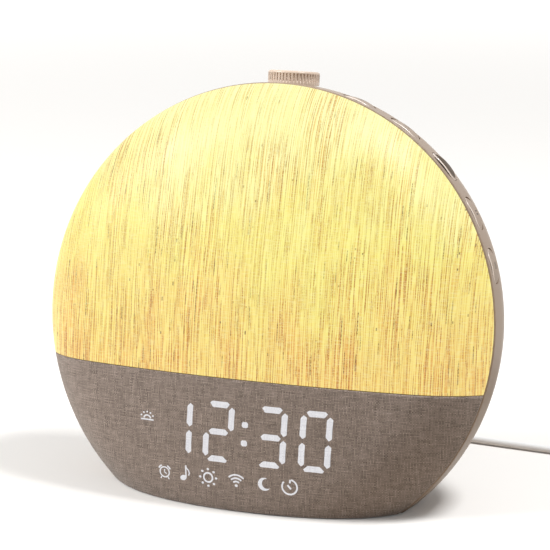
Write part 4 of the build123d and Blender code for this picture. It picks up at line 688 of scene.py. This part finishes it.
class Graph:
    """Node tree of a material or a group, with short calls to add and join its nodes."""

    def __init__(self, tree):
        self.tree = tree

    def add(self, kind, inputs=None, **settings):
        """New node with its settings, and with values or links on its inputs."""
        made = self.tree.nodes.new(kind)
        for name, value in settings.items():
            setattr(made, name, value)
        for socket, value in (inputs or {}).items():
            self.put(made.inputs[socket], value)
        return made

    def put(self, socket, value):
        """Links another node's output to the socket, or sets its value."""
        if isinstance(value, bpy.types.NodeSocket):
            self.tree.links.new(value, socket)
        else:
            socket.default_value = value

    def math(self, operation, *values):
        """Result of one sum on links or numbers."""
        made = self.add("ShaderNodeMath", operation=operation)
        for socket, value in zip(made.inputs, values):
            self.put(socket, value)
        return made.outputs[0]

    def mix(self, factor, first, second):
        """Colour that goes from the first to the second as the factor goes from 0 to 1."""
        made = self.add("ShaderNodeMix", data_type="RGBA")
        self.put(made.inputs[0], factor)
        self.put(made.inputs[6], first)
        self.put(made.inputs[7], second)
        return made.outputs[2]

    def parts(self, vector):
        """The vector's first two values."""
        return self.add("ShaderNodeSeparateXYZ", {0: vector}).outputs[:2]

    def pair(self, x, y):
        """Vector of two values and nothing in its third place."""
        return self.add("ShaderNodeCombineXYZ", {0: x, 1: y}).outputs[0]

    def times(self, vector, size):
        """Vector with all its values multiplied by one size."""
        made = self.add("ShaderNodeVectorMath", {0: vector, "Scale": size}, operation="SCALE")
        return made.outputs[0]

    def scaled(self, vector, x, y, z):
        """Vector with each of its values multiplied by its own size."""
        made = self.add("ShaderNodeVectorMath", operation="MULTIPLY")
        self.put(made.inputs[0], vector)
        self.put(made.inputs[1], (x, y, z))
        return made.outputs[0]

    def noise(self, vector, detail=2.0, roughness=0.5, dimensions="3D"):
        """Noise from 0 to 1 whose blotches are about one unit of the vector across."""
        made = self.add(
            "ShaderNodeTexNoise",
            {"Vector": vector, "Scale": 1.0, "Detail": detail, "Roughness": roughness},
            noise_dimensions=dimensions,
        )
        return made.outputs["Fac"]

    def map_place(self, name, unit):
        """Place on a piece's UV map in millimetres; unit is the length that is one unit of it."""
        chart = self.add("ShaderNodeUVMap", uv_map=name).outputs[0]
        return self.scaled(chart, unit / MM, unit / MM, 0)

    def bump(self, height, strength, depth):
        """Normal of a surface with those heights, of which one unit is the depth."""
        made = self.add("ShaderNodeBump", {"Strength": strength, "Distance": depth, "Height": height})
        return made.outputs[0]

    def between(self, value, low, high, bottom=0.0, top=1.0, smooth=False):
        """Value from low to high carried over to bottom to top and held at its ends."""
        made = self.add(
            "ShaderNodeMapRange",
            {"From Min": low, "From Max": high, "To Min": bottom, "To Max": top},
            interpolation_type="SMOOTHSTEP" if smooth else "LINEAR",
        )
        self.put(made.inputs["Value"], value)
        return made.outputs["Result"]


def group(name, inputs, outputs):
    """An empty node group with its named sockets; returns its graph and its two end nodes."""
    tree = bpy.data.node_groups.new(name, "ShaderNodeTree")
    kinds = {"value": "NodeSocketFloat", "colour": "NodeSocketColor", "vector": "NodeSocketVector"}
    for socket, (kind, default) in inputs.items():
        made = tree.interface.new_socket(socket, in_out="INPUT", socket_type=kinds[kind])
        if default is not None:
            made.default_value = default
    for socket, kind in outputs.items():
        tree.interface.new_socket(socket, in_out="OUTPUT", socket_type=kinds[kind])
    graph = Graph(tree)
    return graph, graph.add("NodeGroupInput").outputs, graph.add("NodeGroupOutput").inputs


YARN_SEED = 17.13  # step in the noise from one yarn to the next
YARN_PITCH = 0.55  # mm between the cloth's threads


def moulded_group():
    """Fine spark-eroded grain of moulded plastic as noise of the grain's size: it gives the bump
    and a faint speck. Wide patches of handling change the roughness and the tone."""
    graph, given, out = group(
        "moulded grain",
        {
            "Grain size": ("value", 0.3),
            "Grain depth": ("value", 0.1),
            "Roughness": ("value", 0.45),
            "Patchiness": ("value", 0.06),
            "Colour": ("colour", (0.5, 0.5, 0.5, 1)),
        },
        {"Normal": "vector", "Roughness": "value", "Colour": "colour"},
    )
    place = graph.add("ShaderNodeTexCoord").outputs["Object"]
    size = graph.math("DIVIDE", 1 / MM, given["Grain size"])
    grain = graph.noise(graph.times(place, size), 3, 0.6)
    graph.put(out["Normal"], graph.bump(grain, given["Grain depth"], 0.05 * MM))
    patches = graph.noise(graph.scaled(place, 45, 45, 45), 3, 0.6)
    swing = graph.math("MULTIPLY", graph.math("SUBTRACT", patches, 0.5), given["Patchiness"])
    graph.put(out["Roughness"], graph.math("MULTIPLY_ADD", swing, 2.0, given["Roughness"]))
    tone = graph.between(patches, 0.3, 0.7, 0.96, 1.03)
    speck = graph.between(grain, 0.3, 0.7, 0.985, 1.015)
    graph.put(out["Colour"], graph.times(given["Colour"], graph.math("MULTIPLY", tone, speck)))
    return graph.tree


def slub_group():
    """Upright lines of uneven yarn in a plane measured in millimetres. Cells one pitch wide hold
    one thin line each, somewhere in their middle part. A line has its own noise along its length,
    which shows it only above a level: that gives dashes with soft ends. A finer noise breaks them
    up by the share called Beat, as cross threads do."""
    graph, given, out = group(
        "slub lines",
        {
            "Place": ("vector", None),
            "Pitch": ("value", 1.2),
            "Width": ("value", 0.42),
            "Length": ("value", 12.0),
            "Low": ("value", 0.55),
            "High": ("value", 0.7),
            "Beat": ("value", 0.3),
        },
        {"Dash": "value"},
    )
    x, y = graph.parts(given["Place"])
    drift = graph.noise(graph.scaled(given["Place"], 0.03, 0.013, 0), 1, 0.5, "2D")
    cells = graph.math("DIVIDE", graph.math("MULTIPLY_ADD", drift, 1.5, x), given["Pitch"])
    seed = graph.math("MULTIPLY", graph.math("FLOOR", cells), YARN_SEED)
    chance = graph.add("ShaderNodeTexWhiteNoise", {"W": seed}, noise_dimensions="1D")
    middle = graph.math("MULTIPLY_ADD", chance.outputs["Value"], 0.56, 0.22)
    off = graph.math("ABSOLUTE", graph.math("SUBTRACT", graph.math("FRACT", cells), middle))
    off = graph.math("DIVIDE", graph.math("MULTIPLY", off, given["Pitch"]), given["Width"])
    line = graph.between(off, 0.5, 0.2)
    along = graph.math("DIVIDE", y, given["Length"])
    wave = graph.noise(graph.pair(seed, along), 1.5, 0.5, "2D")
    dash = graph.between(wave, given["Low"], given["High"], smooth=True)
    threads = graph.noise(graph.pair(seed, graph.math("MULTIPLY", y, 1.5)), 1, 0.5, "2D")
    beat = graph.math("MULTIPLY", graph.between(threads, 0.35, 0.65), given["Beat"])
    line = graph.math("MULTIPLY", dash, line)
    graph.put(out["Dash"], graph.math("MULTIPLY", line, graph.math("SUBTRACT", 1.0, beat)))
    return graph.tree


def weave_group():
    """Plain weave on the face's map. A thread's height is half a sine wave across it, and it sinks
    where the thread that it crosses is low. The warp lies on top where the two threads' numbers
    add up to an odd one, else the weft. Each thread has its own tone, which wanders along it."""
    graph, given, out = group(
        "plain weave",
        {"Pitch": ("value", YARN_PITCH), "Contrast": ("value", 1.0)},
        {"Height": "value", "Tone": "value", "Thread": "value"},
    )
    place = graph.parts(graph.map_place("face", FACE_MAP))
    counts, bends, tones = [], [], []
    for across, along in ((0, 1), (1, 0)):
        thread = graph.math("DIVIDE", place[across], given["Pitch"])
        count = graph.math("FLOOR", thread)
        seed = graph.math("MULTIPLY", count, YARN_SEED + across)
        yarn = graph.pair(seed, graph.math("MULTIPLY", place[along], 0.16))
        counts.append(count)
        bends.append(graph.math("SINE", graph.math("MULTIPLY", graph.math("FRACT", thread), pi)))
        tones.append(graph.noise(yarn, 3, 0.6, "2D"))
    over = graph.math("FLOORED_MODULO", graph.math("ADD", *counts), 2.0)
    round_warp = graph.math("MULTIPLY", bends[0], graph.math("MULTIPLY_ADD", bends[1], 0.35, 0.65))
    round_weft = graph.math("MULTIPLY", bends[1], graph.math("MULTIPLY_ADD", bends[0], 0.35, 0.65))
    height = graph.add("ShaderNodeMix", {0: over, 2: round_weft, 3: round_warp}).outputs[0]
    tone = graph.add("ShaderNodeMix", {0: over, 2: tones[1], 3: tones[0]}).outputs[0]
    graph.put(out["Height"], height)
    graph.put(out["Thread"], graph.between(height, 0.0, 0.55))
    swing = graph.math("MULTIPLY", graph.math("SUBTRACT", tone, 0.5), given["Contrast"])
    graph.put(out["Tone"], graph.math("MULTIPLY_ADD", swing, 1.8, 0.5))
    return graph.tree


moulded = moulded_group()
slub = slub_group()
weave = weave_group()


# ---------------------------------------------------------------- materials
def new_material(name, sockets=None):
    """A material with a principled shader, some of its sockets set, joined to its output."""
    material = bpy.data.materials.new(name)
    material.use_nodes = True
    material.node_tree.nodes.clear()
    graph = Graph(material.node_tree)
    shader = graph.add("ShaderNodeBsdfPrincipled", sockets)
    graph.add("ShaderNodeOutputMaterial", {"Surface": shader.outputs[0]})
    return material, graph, shader


def plastic(name, colour, roughness=0.45, size=0.3, depth=0.15, patchiness=0.05, sockets=None):
    """Moulded part in one colour with the moulded grain."""
    material, graph, shader = new_material(name, sockets)
    grain = graph.add("ShaderNodeGroup", {
        "Grain size": size,
        "Grain depth": depth,
        "Roughness": roughness,
        "Patchiness": patchiness,
        "Colour": linear(*colour),
    }, node_tree=moulded)
    graph.put(shader.inputs["Base Color"], grain.outputs["Colour"])
    graph.put(shader.inputs["Roughness"], grain.outputs["Roughness"])
    graph.put(shader.inputs["Normal"], grain.outputs["Normal"])
    return material


def metal(name, colour, roughness):
    """Plated or turned metal, brushed by its wear."""
    material, graph, shader = new_material(name, {"Metallic": 1.0})
    place = graph.add("ShaderNodeTexCoord").outputs["Object"]
    brush = graph.noise(graph.scaled(place, 900, 900, 9000), 2, 0.5)
    worn = linear(*[0.8 * part for part in colour])
    graph.put(shader.inputs["Base Color"], graph.mix(brush, linear(*colour), worn))
    wear = graph.between(brush, 0.2, 0.8, roughness - 0.08, roughness + 0.1)
    graph.put(shader.inputs["Roughness"], wear)
    return material


HOUSING_FINISH = ((156, 137, 120), 0.36, 0.35, 0.1)
HOUSING_GLOSS = {"Specular IOR Level": 0.15}
KEY_PRINT = (70, 58, 50)
# Signs of the keys from the lowest one up. A bar is the place of its middle on the key, along the
# rim and towards the front, and its half sizes, in millimetres.
KEY_SIGNS = [
    ("menu key", [(0, -1.9, 1.5, 0.2), (0, -1.0, 1.5, 0.2), (0, -0.1, 1.5, 0.2)]),
    ("pause key", [(-0.7, -1.0, 0.3, 1.2), (0.7, -1.0, 0.3, 1.2)]),
    ("minus key", [(0, -1.0, 1.5, 0.25)]),
    ("plus key", [(0, -1.0, 1.5, 0.25), (0, -1.0, 0.25, 1.5)]),
]


def printed_key(name, bars):
    """The housing's finish with a small sign of dark printed bars."""
    material = plastic(name, *HOUSING_FINISH, sockets=HOUSING_GLOSS)
    graph = Graph(material.node_tree)
    shader = material.node_tree.nodes["Principled BSDF"]
    plain = shader.inputs["Base Color"].links[0].from_socket
    place = graph.parts(graph.map_place("key", KEY_MAP))
    key_middle = KEY_MAP / 2 / MM
    sign = 0.0
    for x, y, half_x, half_y in bars:
        inside = []
        for axis, middle, half in ((0, x, half_x), (1, y, half_y)):
            off = graph.math("ABSOLUTE", graph.math("SUBTRACT", place[axis], key_middle + middle))
            inside.append(graph.math("LESS_THAN", off, half))
        sign = graph.math("MAXIMUM", sign, graph.math("MULTIPLY", *inside))
    graph.put(shader.inputs["Base Color"], graph.mix(sign, plain, linear(*KEY_PRINT)))
    return material


GLOW_TOP, GLOW_MIDDLE, GLOW_FOOT = (254, 253, 178), (251, 242, 138), (252, 225, 132)
STAIN, CROSS_THREAD = (250, 200, 104), (255, 252, 196)
# heights on the face's map in mm between which the glow changes to its middle tone and then to
# its lowest one, and between which the lines get more
MIDDLE_BAND, FOOT_BAND, CROWD_BAND = (182.0, 128.0), (140.0, 72.0), (185.0, 105.0)
CLOUD_SWING = 80.0  # mm, how far clouds of noise move the glow's bands
LINE_TONES = {  # olive high up, rusty low down
    "soft": ((230, 198, 96), (226, 158, 74)),
    "plain": ((184, 134, 54), (176, 94, 36)),
    "dark": ((112, 78, 28), (108, 54, 16)),
}
LINE_STRENGTHS = {"light": 0.95, "strong": 1.1}
# The film's lines, from the yarn's own uneven tone to knots: strength, tone, then pitch, width
# and length in mm, the levels of noise between which a line fades in, and its beat
FILM_LINES = [
    ("light", "soft", 0.8, 0.46, 26.0, 0.36, 0.55, 0.3),
    ("light", "soft", 1.15, 0.46, 18.0, 0.4, 0.57, 0.3),
    ("light", "plain", 0.95, 0.4, 13.0, 0.48, 0.6, 0.5),
    ("strong", "plain", 1.7, 0.42, 36.0, 0.48, 0.56, 0.5),
    ("strong", "plain", 2.3, 0.42, 20.0, 0.52, 0.6, 0.6),
    ("strong", "dark", 2.9, 0.46, 13.0, 0.6, 0.67, 0.6),
    ("strong", "dark", 5.3, 0.7, 3.5, 0.7, 0.78, 0.3),
]


def lamp_glow():
    """Lit film with a slubby grain: warm stains, lines of yarn that crowd together in patches and
    low down, and faint cross threads, over a glow that warms unevenly towards the bottom."""
    material, graph, shader = new_material("lit grain film", {
        "Emission Strength": 0.84, "Roughness": 0.5, "Specular IOR Level": 0.35,
    })
    place = graph.map_place("face", FACE_MAP)
    height = graph.parts(place)[1]
    cloud = graph.noise(graph.scaled(place, 0.035, 0.022, 0), 3, 0.6, "2D")
    rise = graph.math("MULTIPLY_ADD", graph.math("SUBTRACT", cloud, 0.5), CLOUD_SWING, height)
    high = graph.between(rise, *MIDDLE_BAND, smooth=True)
    low = graph.between(rise, *FOOT_BAND, smooth=True)
    glow = graph.mix(high, linear(*GLOW_TOP), linear(*GLOW_MIDDLE))
    glow = graph.mix(low, glow, linear(*GLOW_FOOT))

    patches = graph.noise(graph.scaled(place, 0.06, 0.02, 0), 3, 0.55, "2D")
    fallen = graph.between(height, *CROWD_BAND, smooth=True)
    crowd = graph.math("MULTIPLY_ADD", fallen, 0.22, patches)
    crowd = graph.between(crowd, 0.32, 0.76, 0.3, 0.97)
    rust = graph.between(graph.math("MULTIPLY_ADD", low, 0.45, patches), 0.45, 1.0)
    stain = graph.noise(graph.scaled(place, 0.35, 0.05, 0), 3, 0.6, "2D")
    stain = graph.math("MULTIPLY", graph.between(stain, 0.48, 0.75), crowd)
    glow = graph.mix(graph.math("MULTIPLY", stain, 0.22), glow, linear(*STAIN))

    tones = {
        name: graph.mix(rust, linear(*olive), linear(*rusty))
        for name, (olive, rusty) in LINE_TONES.items()
    }
    strengths = {
        name: graph.math("MULTIPLY", crowd, share) for name, share in LINE_STRENGTHS.items()
    }
    for strength, tone, pitch, width, length, level_low, level_high, beat in FILM_LINES:
        lines = graph.add("ShaderNodeGroup", {
            "Place": place, "Pitch": pitch, "Width": width, "Length": length,
            "Low": level_low, "High": level_high, "Beat": beat,
        }, node_tree=slub)
        share = graph.math("MULTIPLY", lines.outputs["Dash"], strengths[strength])
        glow = graph.mix(share, glow, tones[tone])
    cross = graph.noise(graph.scaled(place, 0.25, 2.4, 0), 2, 0.6, "2D")
    cross_share = graph.math("MULTIPLY", graph.between(cross, 0.42, 0.75), 0.3)
    glow = graph.mix(cross_share, glow, linear(*CROSS_THREAD))
    graph.put(shader.inputs["Emission Color"], glow)
    graph.put(shader.inputs["Base Color"], graph.mix(0.85, glow, (0, 0, 0, 1)))
    graph.put(shader.inputs["Normal"], graph.bump(cross, 0.15, 0.05 * MM))
    return material


DARK_YARN, PALE_YARN, YARN_GAP = (102, 91, 84), (183, 168, 158), (95, 84, 77)
DIM_THREAD, LIT_THREAD = (214, 212, 218), (250, 250, 252)


def woven_cloth():
    """Grey-brown plain-woven cover, soft and matt, with uneven yarn."""
    material, graph, shader = new_material("woven cover", {
        "Roughness": 0.85, "Sheen Weight": 0.25, "Sheen Roughness": 0.5, "Specular IOR Level": 0.2,
    })
    threads = graph.add("ShaderNodeGroup", {"Pitch": YARN_PITCH}, node_tree=weave).outputs
    colour = graph.mix(threads["Tone"], linear(*DARK_YARN), linear(*PALE_YARN))
    colour = graph.mix(threads["Thread"], linear(*YARN_GAP), colour)
    graph.put(shader.inputs["Base Color"], colour)
    graph.put(shader.inputs["Normal"], graph.bump(threads["Height"], 0.6, 0.12 * MM))
    return material


def lit_thread():
    """Display light through the cloth: near white, with the weave faintly in it."""
    material, graph, shader = new_material("light through cloth", {
        "Emission Strength": 0.8, "Base Color": linear(90, 90, 92), "Roughness": 0.9,
    })
    threads = graph.add("ShaderNodeGroup", {"Pitch": YARN_PITCH, "Contrast": 0.9}, node_tree=weave)
    glow = graph.mix(threads.outputs["Tone"], linear(*DIM_THREAD), linear(*LIT_THREAD))
    graph.put(shader.inputs["Emission Color"], glow)
    return material


def dress(material, *pieces):
    """Gives the material to pieces, or to CAD nodes by name."""
    for piece in pieces:
        if isinstance(piece, str):
            piece = frame["nodes"][piece]
        piece.data.materials.clear()
        piece.data.materials.append(material)


satin_housing = plastic("satin housing", *HOUSING_FINISH, sockets=HOUSING_GLOSS)
satin_knob = plastic("satin knob", (206, 186, 168), 0.36, 0.3, 0.1)
matt_black = plastic("matt black moulding", (26, 25, 26), 0.6)
white_reflector = plastic("white reflector", (238, 236, 230), 0.55)
# dark rubber of the pad under the foot; on the keys the same dark is painted shade on the walls in
# the gaps under their edges
dark_rubber_and_painted_gap_shade = plastic("dark rubber and painted gap shade", (44, 42, 42), 0.8, 0.5, 0.3)
white_lead = plastic(
    "white lead sleeve", (250, 249, 250), 0.42, 0.6, 0.08,
    sockets={"Subsurface Weight": 0.6, "Subsurface Radius": (1, 1, 1), "Subsurface Scale": 2 * MM},
)
green_board = plastic("green board", (28, 92, 58), 0.35, 0.4, 0.05)
bright_steel = metal("plated steel", (196, 196, 198), 0.3)
# light colour painted on the keys' rounded edges as a highlight, with a low roughness
painted_highlight_edge = plastic("painted highlight key edge", (240, 226, 214), 0.2, 0.5, 0.03)
dark_scoop = plastic("dark thumb hollow", (70, 55, 38), 0.5, 0.4, 0.05)
warm_led = plastic("led", (250, 236, 170), 0.3)
grey_paper = plastic("speaker paper", (40, 38, 38), 0.85, 0.6, 0.4)

dress(satin_housing, *housing_pieces, thumb_piece)
for piece, (name, bars) in zip(key_pieces, KEY_SIGNS):
    key_map(piece)
    dress(printed_key(name, bars), piece)
# slot 1 of each key is a painted highlight on its rounded edge, slot 2 painted shade on the walls in
# the gap under it, and slot 3 the dark hollow of the thumb key
for piece in (*key_pieces, thumb_piece):
    for material in (painted_highlight_edge, dark_rubber_and_painted_gap_shade, dark_scoop):
        piece.data.materials.append(material)
    finish = key_faces(piece)
    if piece is thumb_piece:
        finish = np.where(scoop_faces(piece), 3, finish)
    piece.data.polygons.foreach_set("material_index", finish.astype(np.int32))
dress(satin_knob, knob_piece)
dress(dark_rubber_and_painted_gap_shade, pad_piece)
dress(white_lead, lead_piece, *plug_pieces[:3])
dress(bright_steel, plug_pieces[3])
dress(lamp_glow(), panel_skin)
dress(woven_cloth(), cloth_skin)
dress(lit_thread(), digit_piece, icon_piece)
dress(white_reflector, "lamp_reflector", "key_bracket", "lamp_header")
dress(
    matt_black,
    *("face_baffle display_mask main_chips board_connectors speaker_frame key_switches power_jack "
      "battery_clip encoder_body display_ribbon board_capacitors").split(),
)
dress(green_board, *"lamp_board display_board main_board key_board encoder_board".split())
dress(warm_led, "lamp_leds", "display_leds")
dress(grey_paper, "speaker_cone", "speaker_surround", "speaker_gasket")
dress(
    bright_steel,
    *("lamp_screws tray_screws display_screws board_screws speaker_screws bracket_screws rear_screws "
      "base_screws backup_battery speaker_magnet encoder_nut encoder_rotor encoder_shaft").split(),
)
dress(satin_knob, *[f"switch_plunger_{i + 1}" for i in range(5)])


# ---------------------------------------------------------------- floor and light
FLOOR_REACH = 6.0  # from the clock to the floor's edge
FLOOR_LIT = (186, 174, 160)  # the floor for light on its way
FLOOR_SEEN = (246, 244, 241)
FADE = (0.3, 2.6)  # distances from the clock between which the seen floor fades to white
OWN_LIGHT = (0.04, 0.9)  # strength of the seen floor's own light before and after that
WORLD_LIGHT = 0.34
LAMP_AIM = Vector((0, 0, 0.07))
SOFT_LAMPS = [  # name, place, side and power in watts
    ("key lamp", (-1.1, -0.65, 0.85), 0.6, 20.0),
    ("top lamp", (0.5, 0.05, 1.2), 0.3, 12.5),
]


def seen_directly(graph):
    """1 for what the camera sees, straight or in a reflection or through something clear, and 0
    for light on its way."""
    path = graph.add("ShaderNodeLightPath").outputs
    seen = graph.math("MAXIMUM", path["Is Camera Ray"], path["Is Glossy Ray"])
    return graph.math("MAXIMUM", seen, path["Is Transmission Ray"])


def pale_floor():
    """Level floor, nearly white to the eye and a little darker for the light that it throws back.
    What is seen of it fades to white with its distance from the clock."""
    corners = [(-1, -1, 0), (1, -1, 0), (1, 1, 0), (-1, 1, 0)]
    mesh = bpy.data.meshes.new("floor")
    mesh.from_pydata(np.multiply(corners, FLOOR_REACH).tolist(), [], [(0, 1, 2, 3)])
    floor = bpy.data.objects.new("floor", mesh)
    bpy.context.scene.collection.objects.link(floor)
    material, graph, shader = new_material("pale floor", {
        "Roughness": 0.9, "Emission Color": linear(252, 251, 249),
    })
    seen = seen_directly(graph)
    graph.put(shader.inputs["Base Color"], graph.mix(seen, linear(*FLOOR_LIT), linear(*FLOOR_SEEN)))
    place = graph.add("ShaderNodeTexCoord").outputs["Object"]
    far = graph.add("ShaderNodeVectorMath", {0: place}, operation="LENGTH").outputs["Value"]
    own_light = graph.between(far, *FADE, *OWN_LIGHT, smooth=True)
    graph.put(shader.inputs["Emission Strength"], graph.math("MULTIPLY", seen, own_light))
    mesh.materials.append(material)


def white_world():
    """White all round, at full strength only where it is seen."""
    world = bpy.data.worlds.new("studio")
    bpy.context.scene.world = world
    world.use_nodes = True
    world.node_tree.nodes.clear()
    graph = Graph(world.node_tree)
    strength = graph.between(seen_directly(graph), 0.0, 1.0, WORLD_LIGHT, 1.0)
    surround = graph.add("ShaderNodeBackground", {"Color": (1, 1, 1, 1), "Strength": strength})
    graph.add("ShaderNodeOutputWorld", {"Surface": surround.outputs[0]})


def soft_lamps():
    """Square lamps, each turned to the middle of the clock."""
    for name, place, side, power in SOFT_LAMPS:
        data = bpy.data.lights.new(name, "AREA")
        data.size, data.energy = side, power
        lamp = bpy.data.objects.new(name, data)
        place = Vector(place)
        turn = (place - LAMP_AIM).to_track_quat("Z", "Y").to_matrix().to_4x4()
        lamp.matrix_world = Matrix.Translation(place) @ turn
        bpy.context.scene.collection.objects.link(lamp)


pale_floor()
white_world()
soft_lamps()
bpy.context.scene.view_settings.view_transform = "Standard"
